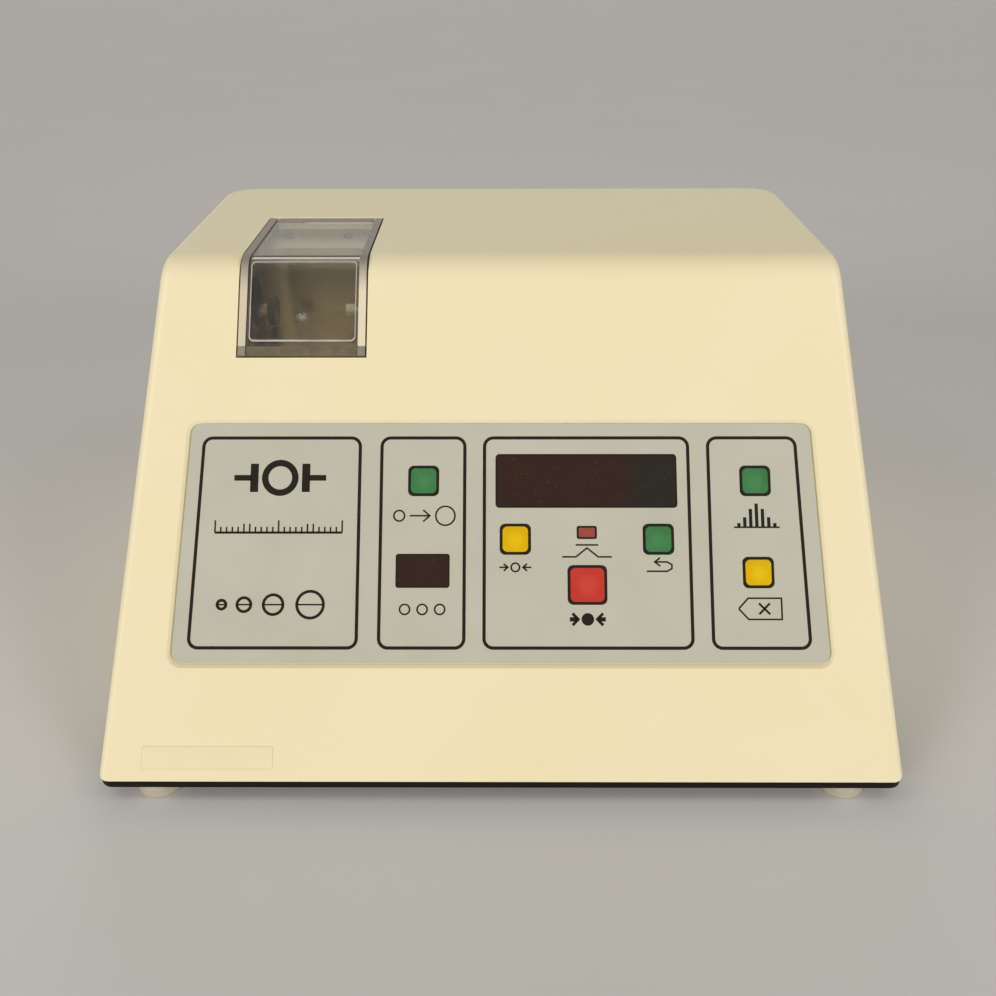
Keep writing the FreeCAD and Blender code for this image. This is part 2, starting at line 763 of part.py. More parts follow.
def chamber_plan(growth, z0, z1):
    front = front_y
    points = [(chamber_left - growth, front), (chamber_right + growth, front),
              (chamber_right + growth, rear_wall_y + growth), (chamber_left - growth, rear_wall_y + growth)]
    return plate(points, [0, 0, liner_corner + growth, liner_corner + growth], z0, z1)


def chamber_liner():
    """One bent sheet: a U with round rear corners, side walls that rise to the cover, and a rear flange."""
    low = floor_z - liner_sheet
    lower = chamber_plan(liner_sheet, low, flange_z).cut(chamber_plan(0, low - overrun, flange_z + overrun))
    end_y = rear_wall_y + flange_depth
    sides = [box(chamber_left - liner_sheet, chamber_left, front_y, end_y, flange_z - liner_sheet, top_z),
             box(chamber_right, chamber_right + liner_sheet, front_y, end_y, flange_z - liner_sheet, top_z)]
    flange = box(chamber_left - liner_sheet, chamber_right + liner_sheet, rear_wall_y - liner_corner,
                 end_y, flange_z - liner_sheet, flange_z)
    flange = flange.cut(chamber_plan(0, flange_z - liner_sheet - overrun, flange_z + overrun))
    left_hole = rod_x(jaw_hole_radius, chamber_left - overrun, chamber_left + overrun,
                      jaw_y, jaw_z + jaw_hole_rise)
    right_hole = rod_x(plunger_hole_radius, chamber_right - overrun, chamber_right + overrun)
    screw_holes = [rod_z(small_screw_radius + fit_gap / 2, x, y, flange_z - overrun, flange_z + overrun)
                   for x, y in flange_screw_places]
    whole = fuse([lower, flange] + sides).common(case_form(cover_wall + fit_gap))
    return whole.cut([left_hole, right_hole] + screw_holes)


def chamber_floor():
    sheet = chamber_plan(0, floor_z - liner_sheet, floor_z).common(case_form(cover_wall + fit_gap))
    return sheet.cut(rod_z(small_screw_radius + fit_gap / 2, floor_screw_x, floor_screw_y,
                           floor_z - overrun, floor_z + overrun))


def chamber_floor_screw():
    return pan_screw(floor_screw_x, floor_screw_y, floor_z, floor_screw_head, floor_screw_head_height,
                     small_screw_radius, small_screw_length)


# Frame and drive values. The drive runs along X to the right of the chamber.
beam_width = 70.0
beam_thickness = 12.0
beam_left_reach = 40.5
screw_drop = 16.0
nut_clearance = 4.5
block_width = 34.0
block_top_margin = 11.0
front_block_gap = 1.5
front_block_thickness = 14.0
rear_block_thickness = 12.0
carriage_length = 18.0
carriage_width = 28.0
carriage_margin = 9.0
drive_end_gap = 1.2
bush_radius = 5.0
plunger_radius = 2.5
running_gap = 0.04
bush_lip = 1.5
head_radius = 4.0
head_length = 6.0
head_socket = 3.0
screw_radius = 4.0
screw_pitch = 2.0
journal_radius = 2.5
bearing_radius = 8.0
bearing_width = 5.0
nut_radius = 7.0
nut_flange_radius = 10.0
nut_flange_thickness = 3.0
coupling_radius = 8.0
coupling_length = 20.0
coupling_gap = 2.0
coupling_groove = 2.0
coupling_neck = 6.4
motor_bracket_sheet = 3.0
motor_bracket_gap = 3.0
gearbox_radius = 18.5
gearbox_length = 22.0
motor_radius = 16.5
motor_length = 40.0
motor_boss_radius = 6.0
motor_shaft_radius = 3.0
terminal_size = 4.0
leg_sheet = 2.0
leg_width = 60.0
leg_flange = 16.0
leg_inset = 8.0
frame_screw_radius = 2.0
frame_screw_head = 3.5
frame_screw_head_height = 4.0

screw_z = jaw_z - screw_drop
beam_top = screw_z - nut_flange_radius - nut_clearance
beam_bottom = beam_top - beam_thickness
front_block_x = chamber_right + liner_sheet + front_block_gap
front_block_end = front_block_x + front_block_thickness
carriage_x = front_block_end + jaw_travel + drive_end_gap
carriage_end = carriage_x + carriage_length
rear_block_x = carriage_end + nut_flange_thickness + drive_end_gap
rear_block_end = rear_block_x + rear_block_thickness
coupling_x = rear_block_end + coupling_gap
coupling_middle = coupling_x + coupling_length / 2
coupling_end = coupling_x + coupling_length
beam_right = coupling_end + motor_bracket_gap
motor_face = beam_right + motor_bracket_sheet
motor_shaft_end = motor_face + gearbox_length / 2
gearbox_end = motor_face + gearbox_length
motor_end = gearbox_end + motor_length
beam_left = chamber_left - beam_left_reach
block_top = jaw_z + block_top_margin
beam_front_y = jaw_y - beam_width / 2
beam_rear_y = jaw_y + beam_width / 2


def rod_on_screw_axis(radius, x0, x1):
    return rod_x(radius, x0, x1, jaw_y, screw_z)


def frame_beam():
    beam = box(beam_left, beam_right, beam_front_y, beam_rear_y, beam_bottom, beam_top)
    edges = [e for e in beam.Edges if abs(e.Vertexes[0].Point.x - e.Vertexes[-1].Point.x) > beam_width]
    return beam.makeChamfer(leg_sheet / 2, edges)


def frame_leg(x, way):
    """A folded sheet leg: an upright web with a flange under the beam and one on the base plate."""
    y0, y1 = jaw_y - leg_width / 2, jaw_y + leg_width / 2
    web = box(min(x, x + way * leg_sheet), max(x, x + way * leg_sheet), y0, y1, cover_bottom, beam_bottom)
    x_end = x + way * leg_flange
    foot = box(min(x, x_end), max(x, x_end), y0, y1, cover_bottom, cover_bottom + leg_sheet)
    head = box(min(x, x_end), max(x, x_end), y0, y1, beam_bottom - leg_sheet, beam_bottom)
    return fuse([web, foot, head])


def bearing_block(x0, x1, pocket_at_end):
    block = box(x0, x1, jaw_y - block_width / 2, jaw_y + block_width / 2, beam_top, block_top)
    pocket = rod_on_screw_axis(bearing_radius, x1 - bearing_width, x1 + overrun) if pocket_at_end else \
        rod_on_screw_axis(bearing_radius, x0 - overrun, x0 + bearing_width)
    relief = rod_on_screw_axis(screw_radius + fit_gap, x0 - overrun, x1 + overrun)
    return block.cut([pocket, relief])


def front_bearing_block():
    block = bearing_block(front_block_x, front_block_end, True)
    return block.cut(rod_x(bush_radius, front_block_x - overrun, front_block_end + overrun))


def rear_bearing_block():
    return bearing_block(rear_block_x, rear_block_end, False)


def guide_bush():
    bush = rod_x(bush_radius, front_block_x, front_block_end)
    lip = rod_x(bush_radius + bush_lip, front_block_end, front_block_end + bush_lip / 2)
    bore = rod_x(plunger_radius + running_gap, front_block_x - overrun, front_block_end + overrun)
    return fuse([bush, lip]).cut(bore)


def screw_bearings():
    rings = []
    for x0 in (front_block_end - bearing_width, rear_block_x):
        ring = rod_on_screw_axis(bearing_radius, x0, x0 + bearing_width)
        bore = rod_on_screw_axis(journal_radius + running_gap, x0 - overrun, x0 + bearing_width + overrun)
        rings.append(ring.cut(bore))
    return group(rings)


def moving_jaw():
    head = rod_x(head_radius, moving_face_x, moving_face_x + head_length)
    face_edge = [e for e in head.Edges if e.BoundBox.XMax < moving_face_x + head_length / 4]
    head = head.makeChamfer(head_radius / 10, face_edge)
    return head.cut(rod_x(plunger_radius, moving_face_x + head_length - head_socket,
                          moving_face_x + head_length + overrun))


def plunger_shaft():
    return rod_x(plunger_radius, moving_face_x + head_length - head_socket, carriage_end)


def drive_carriage():
    low = screw_z - carriage_margin
    body = box(carriage_x, carriage_end, jaw_y - carriage_width / 2, jaw_y + carriage_width / 2,
               low, block_top)
    flag = box(carriage_x, carriage_x + leg_sheet, jaw_y + carriage_width / 2 - leg_sheet,
               jaw_y + block_width / 2 + leg_sheet, low, low + carriage_margin)
    shaft = rod_x(plunger_radius, carriage_x - overrun, carriage_end + overrun)
    nut = rod_on_screw_axis(nut_radius, carriage_x - overrun, carriage_end + overrun)
    return fuse([body, flag]).cut([shaft, nut])


def drive_nut():
    sleeve = rod_on_screw_axis(nut_radius, carriage_x, carriage_end)
    flange = rod_on_screw_axis(nut_flange_radius, carriage_end, carriage_end + nut_flange_thickness)
    bore = rod_on_screw_axis(screw_radius + running_gap, carriage_x - overrun,
                             carriage_end + nut_flange_thickness + overrun)
    return fuse([sleeve, flange]).cut(bore)


def lead_screw():
    thread_start = front_block_end + fit_gap
    thread_end = rear_block_x - fit_gap
    thread = rod_on_screw_axis(screw_radius, thread_start, thread_end)
    front = rod_on_screw_axis(journal_radius, front_block_end - bearing_width, thread_start)
    rear = rod_on_screw_axis(journal_radius, thread_end, coupling_middle)
    return fuse([thread, front, rear])


def shaft_coupling():
    body = rod_on_screw_axis(coupling_radius, coupling_x, coupling_end)
    screw_side = rod_on_screw_axis(journal_radius, coupling_x - overrun, coupling_middle)
    motor_side = rod_on_screw_axis(motor_shaft_radius, coupling_middle, coupling_end + overrun)
    groove = rod_on_screw_axis(coupling_radius + overrun, coupling_middle - coupling_groove / 2,
                               coupling_middle + coupling_groove / 2)
    groove = groove.cut(rod_on_screw_axis(coupling_neck, coupling_x, coupling_end))
    return body.cut([screw_side, motor_side, groove])


def motor_shaft():
    return rod_on_screw_axis(motor_shaft_radius, coupling_middle, motor_shaft_end)


def motor_bracket():
    sheet = box(beam_right, motor_face, jaw_y - beam_width / 2, jaw_y + beam_width / 2, beam_bottom,
                screw_z + gearbox_radius + leg_sheet)
    return sheet.cut(rod_on_screw_axis(motor_boss_radius, beam_right - overrun, motor_face + overrun))


def drive_motor():
    gearbox = rod_on_screw_axis(gearbox_radius, motor_face, gearbox_end)
    motor = rod_on_screw_axis(motor_radius, gearbox_end, motor_end)
    boss = rod_on_screw_axis(motor_boss_radius, beam_right, motor_face)
    tabs = [box(motor_end, motor_end + terminal_size, jaw_y + side * motor_radius / 2 - terminal_size / 4,
                jaw_y + side * motor_radius / 2 + terminal_size / 4, screw_z - terminal_size / 2,
                screw_z + terminal_size / 2) for side in (-1, 1)]
    bore = rod_on_screw_axis(motor_shaft_radius + running_gap, beam_right - overrun, motor_shaft_end)
    return fuse([gearbox, motor, boss] + tabs).cut(bore)


def chamber_bracket():
    """The bent sheet that carries the liner's rear flange and the chamber floor from the beam."""
    x0, x1 = chamber_left + bracket_side_inset, chamber_right - bracket_side_inset
    y0 = rear_wall_y + liner_sheet
    high = flange_z - liner_sheet
    web = box(x0, x1, y0, y0 + bracket_sheet, beam_top, high)
    shelf = box(x0, x1, y0, rear_wall_y + flange_depth, high - bracket_sheet, high)
    foot_end = min(y0 + bracket_foot, beam_rear_y)
    foot = box(x0, x1, jaw_y + beam_width / 4, foot_end, beam_top, beam_top + bracket_sheet)
    under_floor = floor_z - liner_sheet
    tab = box(x0, x1, floor_screw_y - bracket_foot / 2, y0 + bracket_sheet,
              under_floor - bracket_sheet, under_floor)
    holes = [rod_z(small_screw_radius, x, y, high - overrun, high + overrun)
             for x, y in flange_screw_places]
    holes.append(rod_z(small_screw_radius, floor_screw_x, floor_screw_y,
                       under_floor - overrun, under_floor + overrun))
    return fuse([web, shelf, foot, tab]).cut(holes)


def flange_screws():
    return group([pan_screw(x, y, flange_z, small_screw_head, small_screw_head_height, small_screw_radius,
                            small_screw_length) for x, y in flange_screw_places])


# Force sensor values: an upright bending beam to the left of the chamber
sensor_block_thickness = 10.0
sensor_block_height = 20.0
sensor_thickness = 12.0
sensor_width = 15.0
sensor_foot_gap = 1.0
sensor_top_margin = 12.0
sensor_hole_radius = 2.7
sensor_hole_pitch = 8.0
fixed_disc_radius = 8.5
fixed_disc_thickness = 4.0
fixed_stem_radius = 4.0
fixed_spigot_radius = 2.5
fixed_spigot_length = 8.0
sensor_screw_rise = (6.0, 14.0)

sensor_block_end = beam_left + sensor_block_thickness
sensor_end = sensor_block_end + sensor_thickness
sensor_low = beam_top + sensor_foot_gap
sensor_high = jaw_z + sensor_top_margin
sensor_screw_heights = [beam_top + rise for rise in sensor_screw_rise]


def sensor_bracket():
    y0, y1 = jaw_y - block_width / 2, jaw_y + block_width / 2
    block = box(beam_left, sensor_block_end, y0, y1, beam_top, beam_top + sensor_block_height)
    return block.cut([rod_x(frame_screw_radius, beam_left - overrun, sensor_block_end + overrun, z=z)
                      for z in sensor_screw_heights])


def load_cell():
    y0, y1 = jaw_y - sensor_width / 2, jaw_y + sensor_width / 2
    body = box(sensor_block_end, sensor_end, y0, y1, sensor_low, sensor_high)
    middle_x = (sensor_block_end + sensor_end) / 2
    middle_z = (beam_top + sensor_block_height + jaw_z - fixed_stem_radius) / 2
    holes = [Part.makeCylinder(sensor_hole_radius, sensor_width + 2 * overrun,
                               V(middle_x, y0 - overrun, middle_z + side * sensor_hole_pitch / 4), V(0, 1, 0))
             for side in (-1, 1)]
    spigot = rod_x(fixed_spigot_radius, sensor_end - fixed_spigot_length, sensor_end + overrun)
    screws = [rod_x(frame_screw_radius, sensor_block_end - overrun, sensor_end + overrun, z=z)
              for z in sensor_screw_heights]
    return body.cut(holes + [spigot] + screws)


def load_cell_screws():
    screws = []
    for z in sensor_screw_heights:
        head = rod_x(frame_screw_head, sensor_end, sensor_end + frame_screw_head_height, z=z)
        shank = rod_x(frame_screw_radius, beam_left + sensor_block_thickness / 4, sensor_end, z=z)
        screws.append(fuse([head, shank]))
    return group(screws)


def fixed_jaw():
    disc = rod_x(fixed_disc_radius, fixed_face_x - fixed_disc_thickness, fixed_face_x)
    rim = [e for e in disc.Edges if e.BoundBox.XMin > fixed_face_x - fixed_disc_thickness / 4]
    disc = disc.makeChamfer(fixed_disc_thickness / 8, rim)
    stem = rod_x(fixed_stem_radius, sensor_end, fixed_face_x - fixed_disc_thickness)
    spigot = rod_x(fixed_spigot_radius, sensor_end - fixed_spigot_length, sensor_end)
    return fuse([disc, stem, spigot])


# End switch values
end_switch = (20.0, 6.4, 10.0)
end_switch_nub = 1.2
end_switch_nub_height = 0.8


def end_switches():
    length, width, height = end_switch
    y0 = jaw_y + block_width / 2 + leg_sheet + nut_clearance / 4
    flag_x = carriage_x + leg_sheet / 2
    solids = []
    for middle in (flag_x, flag_x - jaw_travel):
        case = box(middle - length / 2, middle + length / 2, y0, y0 + width, beam_top, beam_top + height)
        nub = Part.makeCylinder(end_switch_nub, end_switch_nub_height,
                                V(middle, y0, beam_top + height / 2), V(0, -1, 0))
        solids.append(fuse([case, nub]))
    return group(solids)


# Electronics values
board_size = (170.0, 105.0)
board_from_left = 152.5
board_from_front = 103.5
main_standoff_height = 8.0
main_standoff_radius = 3.0
main_standoff_inset = 6.0
chip_sizes = ((36.0, 14.0, 4.0), (20.0, 7.5, 3.5), (52.0, 14.0, 4.0), (24.0, 24.0, 14.0), (30.0, 8.0, 9.0))
chip_place_shares = ((-0.30, 0.22), (-0.32, -0.22), (0.05, 0.22), (0.34, 0.20), (0.30, -0.28))
capacitor_radius = 8.0
capacitor_height = 26.0
capacitor_place_shares = ((0.05, -0.22), (-0.08, -0.22))
transformer_from_side = 78.0
transformer_behind_legs = 7.0
core_size = (66.0, 32.0, 55.0)
winding_growth = 11.0
core_leg = 11.0
core_foot = 10.0
core_foot_sheet = 2.0

board_x = board_from_left - base_width / 2
board_y = front_y + board_from_front
transformer_x = base_width / 2 - transformer_from_side
transformer_y = jaw_y + leg_width / 2 + transformer_behind_legs + core_size[1] / 2


def main_board():
    width, depth = board_size
    low = cover_bottom + main_standoff_height
    high = low + board_thickness
    board = tile(board_x, board_y, width, depth, main_standoff_inset / 2, low, high)
    solids = [board]
    for (length, breadth, height), (share_x, share_y) in zip(chip_sizes, chip_place_shares):
        x, y = board_x + share_x * width, board_y + share_y * depth
        solids.append(tile(x, y, length, breadth, 0, high, high + height))
    for share_x, share_y in capacitor_place_shares:
        x, y = board_x + share_x * width, board_y + share_y * depth
        solids.append(rod_z(capacitor_radius, x, y, high, high + capacitor_height))
    return fuse(solids)


def transformer_core():
    width, depth, height = core_size
    core = tile(transformer_x, transformer_y, width, depth, 0, cover_bottom, cover_bottom + height)
    feet_plate = tile(transformer_x, transformer_y, width + 2 * core_foot, depth, 0,
                      cover_bottom, cover_bottom + core_foot_sheet)
    core = fuse([core, feet_plate])
    gaps = [tile(transformer_x + side * width / 4, transformer_y, core_leg, depth + 2 * overrun, 0,
                 cover_bottom + core_leg, cover_bottom + height - core_leg) for side in (-1, 1)]
    return core.cut(gaps)


def transformer_winding():
    width, depth, height = core_size
    low = cover_bottom + core_leg + fit_gap
    high = cover_bottom + height - core_leg - fit_gap
    outer = tile(transformer_x, transformer_y, width / 2 + core_leg - 2 * fit_gap,
                 depth + 2 * winding_growth, winding_growth / 2, low, high)
    return outer.cut(transformer_core())


nodes = {
    "cover_shell": cover_shell,
    "base_plate": base_plate,
    "feet": feet,
    "foot_screws": foot_screws,
    "cover_screws": cover_screws,
    "keypad_sheet": keypad_sheet,
    "keypad_circuit": keypad_circuit,
    "display_board": display_board,
    "chamber_liner": chamber_liner,
    "chamber_floor": chamber_floor,
    "chamber_floor_screw": chamber_floor_screw,
    "chamber_bracket": chamber_bracket,
    "lid_pane": lid_pane_solid,
    "lid_lower_strip": lid_lower_strip,
    "lid_corner_blocks": lid_corner_blocks,
    "lid_hinge_block": lid_hinge_block,
    "lid_hinge_pin": lid_hinge_pin,
    "sensor_bracket": sensor_bracket,
    "load_cell": load_cell,
    "load_cell_screws": load_cell_screws,
    "fixed_jaw": fixed_jaw,
    "moving_jaw": moving_jaw,
    "plunger_shaft": plunger_shaft,
    "guide_bush": guide_bush,
    "front_bearing_block": front_bearing_block,
    "rear_bearing_block": rear_bearing_block,
    "screw_bearings": screw_bearings,
    "lead_screw": lead_screw,
    "drive_nut": drive_nut,
    "drive_carriage": drive_carriage,
    "shaft_coupling": shaft_coupling,
    "motor_shaft": motor_shaft,
    "drive_motor": drive_motor,
    "motor_bracket": motor_bracket,
    "end_switches": end_switches,
    "frame_beam": frame_beam,
    "main_board": main_board,
    "transformer_core": transformer_core,
    "transformer_winding": transformer_winding,
    "rear_panel": rear_panel,
    "mains_inlet": mains_inlet,
    "fuse_drawer": fuse_drawer,
    "power_switch": power_switch,
    "power_rocker": power_rocker,
    "printer_port": printer_port,
}

shapes = {name: make() for name, make in nodes.items()}
shapes["lid_left_side"] = lid_side_plate(lid_left, lid_inner_left)
shapes["lid_right_side"] = lid_side_plate(lid_inner_right, lid_right)
shapes["frame_legs"] = group([frame_leg(beam_left + leg_inset, 1), frame_leg(beam_right - leg_inset, -1)])
shapes["small_screws"] = group(board_screws().Solids + flange_screws().Solids)
for name in keys:
    shapes[name] = key(name)
for name in ("main_display_window", "count_display_window", "peak_hold_lens"):
    shapes[name] = window(name)
shapes["main_display_module"] = display_module("main_display_window")
shapes["count_display_module"] = display_module("count_display_window")

os.makedirs("parts", exist_ok=True)
for name, shape in shapes.items():
    solids = len(shape.Solids)
    if not shape.isValid() or not solids:
        print("check this shape:", name)
    shape.exportStep("parts/" + name + ".step")

# What moves: a point on each axis, the direction, and the travel
pivot_out = panel_out + switch_bezel_thickness - rocker_pivot_below
pivot = on_rear(Part.Vertex(switch_x, rear_row, pivot_out)).Point
print(len(shapes), "nodes")
print("lid turns about", (lid_x, hinge_y, hinge_z), "towards -X")
print("keys travel", key_travel, "along", (0, math.sin(slope), -math.cos(slope)))
print("moving jaw travels", jaw_travel, "towards -X, one turn of the screw for", screw_pitch)
print("screw turns about", (coupling_middle, jaw_y, screw_z))
print("rocker turns about", tuple(pivot), "by", 2 * rocker_tilt_deg)
print("its axis is", (0, -math.sin(draft), math.cos(draft)))
print("fuse drawer travels", drawer_travel, "along", (0, math.cos(draft), math.sin(draft)))
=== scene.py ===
"""Looks of the tablet hardness tester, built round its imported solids."""

import json
import math

import bmesh
import bpy
from mathutils import Matrix, Vector


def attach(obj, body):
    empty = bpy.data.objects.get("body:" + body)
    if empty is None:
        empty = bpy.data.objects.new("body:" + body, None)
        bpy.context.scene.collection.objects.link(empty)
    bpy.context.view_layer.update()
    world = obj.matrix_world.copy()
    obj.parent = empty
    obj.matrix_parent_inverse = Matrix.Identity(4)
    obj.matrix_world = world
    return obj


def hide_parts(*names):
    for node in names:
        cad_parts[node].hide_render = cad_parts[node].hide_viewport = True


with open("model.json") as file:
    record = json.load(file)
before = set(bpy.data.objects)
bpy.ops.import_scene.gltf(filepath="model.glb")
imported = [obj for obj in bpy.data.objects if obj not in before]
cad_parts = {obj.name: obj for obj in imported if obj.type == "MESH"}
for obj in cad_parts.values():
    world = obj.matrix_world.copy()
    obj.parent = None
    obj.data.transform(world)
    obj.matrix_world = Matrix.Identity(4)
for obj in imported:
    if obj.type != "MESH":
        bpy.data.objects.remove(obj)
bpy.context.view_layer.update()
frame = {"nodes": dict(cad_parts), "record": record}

MM = 0.001

# Case sizes in millimetres, the same as in the part's source
FRONT_Y = -176.5
REAR_Y = 176.5
COVER_BOTTOM = 13.0
COVER_TOP = 226.0
SLOPE = math.radians(50.9)
DRAFT = math.radians(4.9)
LID_BEND_RADIUS = 13.7
# The keypad sheet's face, measured out of the slope, and the ink's height over it
SHEET_TOP = -0.15
PRINT_THICKNESS = 0.05
# Least cosine of half the turn at a corner, so that a sharp corner keeps a short point
LEAST_INSET_COSINE = 0.2
LEAST_STROKE_COSINE = 0.4


def on_slope(x, up, out=0.0):
    """The point, in metres, at x from the middle, up the sloping front, and out of it."""
    return Vector((x, FRONT_Y + up * math.cos(SLOPE) - out * math.sin(SLOPE),
                   COVER_BOTTOM + up * math.sin(SLOPE) + out * math.cos(SLOPE))) * MM


def on_rear(x, up, out=0.0):
    """The point, in metres, at x from the middle, up the rear wall, and out of it."""
    return Vector((x, REAR_Y - up * math.sin(DRAFT) + out * math.cos(DRAFT),
                   COVER_BOTTOM + up * math.cos(DRAFT) + out * math.sin(DRAFT))) * MM


def on_lid(x, along, out=0.0):
    """The point, in metres, at x, up the case's front, round the lid's bend and back over the top."""
    shoulder = (COVER_TOP - COVER_BOTTOM) / math.sin(SLOPE)
    bend_start = shoulder - LID_BEND_RADIUS * math.tan(SLOPE / 2)
    if along <= bend_start:
        return on_slope(x, along, out)
    middle = on_slope(x, bend_start, -LID_BEND_RADIUS) / MM
    turned_by = min((along - bend_start) / LID_BEND_RADIUS, SLOPE)
    flat = along - bend_start - LID_BEND_RADIUS * turned_by
    lean = SLOPE - turned_by
    return Vector((x, middle.y - (LID_BEND_RADIUS + out) * math.sin(lean) + flat,
                   middle.z + (LID_BEND_RADIUS + out) * math.cos(lean))) * MM


def upright(x, y, z):
    return Vector((x, y, z)) * MM


def towards(degrees):
    """The flat direction at an angle from the x axis."""
    return Vector((math.cos(math.radians(degrees)), math.sin(math.radians(degrees))))


# Flat outlines, as lists of corners in millimetres, counter-clockwise
def rectangle(x, y, width, height):
    return [(x - width / 2, y - height / 2), (x + width / 2, y - height / 2),
            (x + width / 2, y + height / 2), (x - width / 2, y + height / 2)]


def inset(corners, amount):
    """A convex outline with every side moved inward by amount."""
    moved = []
    count = len(corners)
    for index in range(count):
        before, here, after = (Vector(corners[(index + step) % count]) for step in (-1, 0, 1))
        into, away = (here - before).normalized(), (after - here).normalized()
        bisector = Vector((-into.y - away.y, into.x + away.x)).normalized()
        lean = max(bisector.dot(Vector((-into.y, into.x))), LEAST_INSET_COSINE)
        moved.append(tuple(here + bisector * amount / lean))
    return moved


def rounded(corners, radius, steps=8):
    """A convex outline with round corners, with the same number of points for any radius."""
    points = []
    count = len(corners)
    for index in range(count):
        before, here, after = (Vector(corners[(index + step) % count]) for step in (-1, 0, 1))
        back, on = (before - here).normalized(), (after - here).normalized()
        half = back.angle(on) / 2
        centre = here + (back + on).normalized() * radius / math.sin(half)
        start = here + back * radius / math.tan(half) - centre
        turn = math.pi - 2 * half
        for step in range(steps + 1):
            angle = turn * step / steps
            points.append((centre.x + start.x * math.cos(angle) - start.y * math.sin(angle),
                           centre.y + start.x * math.sin(angle) + start.y * math.cos(angle)))
    return points


def circle(x, y, radius, steps=32):
    angles = [math.tau * step / steps for step in range(steps)]
    return [(x + radius * math.cos(angle), y + radius * math.sin(angle)) for angle in angles]


# Mesh building
def loft(bm, rings, bands=(0,), closed=False):
    """Skins rings of points. The ends are capped, unless closed joins the last ring to the first.

    bands holds the material number of the first cap and each band; its last one goes to all the rest.
    """
    made = [[bm.verts.new(point) for point in ring] for ring in rings]
    pairs = list(zip(made, made[1:] + made[:1])) if closed else list(zip(made, made[1:]))
    for band, (low, high) in enumerate(pairs):
        for index in range(len(low)):
            after = (index + 1) % len(low)
            face = bm.faces.new((low[index], low[after], high[after], high[index]))
            face.material_index = bands[min(band, len(bands) - 1)]
    if not closed:
        bm.faces.new(made[0]).material_index = bands[0]
        bm.faces.new(made[-1]).material_index = bands[-1]


def slab(bm, outline, low, high, place):
    loft(bm, [[place(x, y, z) for x, y in outline] for z in (low, high)])


def border(bm, outer, inner, low, high, place):
    """A flat frame between two outlines that have as many points."""
    rings = [(outer, low), (outer, high), (inner, high), (inner, low)]
    loft(bm, [[place(x, y, z) for x, y in outline] for outline, z in rings], closed=True)


def stroke(bm, points, width, low, high, place):
    """A drawn line of even width through points, with square corners."""
    left, right = [], []
    for index, here in enumerate(points):
        here = Vector(here)
        before = Vector(points[max(index - 1, 0)])
        after = Vector(points[min(index + 1, len(points) - 1)])
        into = (here - before).normalized() if index else (after - here).normalized()
        away = (after - here).normalized() if index < len(points) - 1 else into
        side = Vector((-into.y - away.y, into.x + away.x)).normalized()
        lean = max(side.dot(Vector((-into.y, into.x))), LEAST_STROKE_COSINE)
        left.append(here + side * width / 2 / lean)
        right.append(here - side * width / 2 / lean)
    for index in range(len(points) - 1):
        quad = [right[index], right[index + 1], left[index + 1], left[index]]
        slab(bm, [tuple(point) for point in quad], low, high, place)


def turned(bm, profile, x, y, place, steps=40):
    """A turned piece: profile is (radius, height) pairs about x, y in the plane that place sets."""
    rings = []
    for radius, height in profile:
        rings.append([place(px, py, height) for px, py in circle(x, y, radius, steps)])
    loft(bm, rings)


def mesh_object(name, bm, materials, sharp_angle=35):
    """An object of the scene, shaded smooth but for edges over the angle, in degrees."""
    bmesh.ops.recalc_face_normals(bm, faces=bm.faces)
    mesh = bpy.data.meshes.new(name)
    bm.to_mesh(mesh)
    bm.free()
    for surface in materials:
        mesh.materials.append(surface)
    mesh.shade_smooth()
    mesh.set_sharp_from_angle(angle=math.radians(sharp_angle))
    made = bpy.data.objects.new(name, mesh)
    bpy.context.scene.collection.objects.link(made)
    return made


def piece(name, bm, materials, body, slot, sharp_angle=35, replaces=()):
    """A named piece that rides on a body; its slot is not used."""
    made = mesh_object(name, bm, materials, sharp_angle)
    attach(made, body)
    if replaces:
        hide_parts(*replaces)


# Materials: node settings that repeat, and the input numbers of a map-range node
COLOURS = {"data_type": "RGBA"}
SMOOTH = {"interpolation_type": "SMOOTHSTEP"}
LOW, HIGH, TO_LOW, TO_HIGH = 1, 2, 3, 4
# Where a finish, a painted shade or a painted highlight changes along the object, in millimetres, from one
# place to the other
DIGITS_END_X = (64.0, 73.0)
LID_BEND_Y = (-17.0, -1.0)
LID_MIDDLE_X = (-110.0, -100.0)
JAW_PAD_X = (-134.2, -133.8)
PAINTED_LIGHT_FLANGE_Z = (205.0, 215.5)


def colour(code):
    """An sRGB hex colour as linear values."""
    values = [int(code[index:index + 2], 16) / 255 for index in (1, 3, 5)]
    return [v / 12.92 if v <= 0.04045 else ((v + 0.055) / 1.055) ** 2.4 for v in values] + [1.0]


def add(tree, kind, settings=(), inputs=()):
    """Adds a shader node with its settings, and sets or links its inputs."""
    made = tree.nodes.new("ShaderNode" + kind)
    for name, value in dict(settings).items():
        setattr(made, name, value)
    for key, value in dict(inputs).items():
        if isinstance(value, bpy.types.NodeSocket):
            tree.links.new(value, made.inputs[key])
        else:
            made.inputs[key].default_value = value
    return made


def per(millimetres):
    """The scale of a pattern that repeats once in so many millimetres."""
    return 1.0 / (millimetres * MM)


def plug(made, **inputs):
    """Links or sets a material's shader inputs, which are named with underscores for spaces."""
    tree = made.node_tree
    for key, value in inputs.items():
        socket = tree.nodes["Principled BSDF"].inputs[key.replace("_", " ")]
        if isinstance(value, bpy.types.NodeSocket):
            tree.links.new(value, socket)
        else:
            socket.default_value = value


def material(name, **constants):
    """A new material with constants set on its shader, its node tree and its object coordinates."""
    made = bpy.data.materials.new(name)
    made.use_nodes = True
    plug(made, **constants)
    tree = made.node_tree
    return made, tree, add(tree, "TexCoord").outputs["Object"]


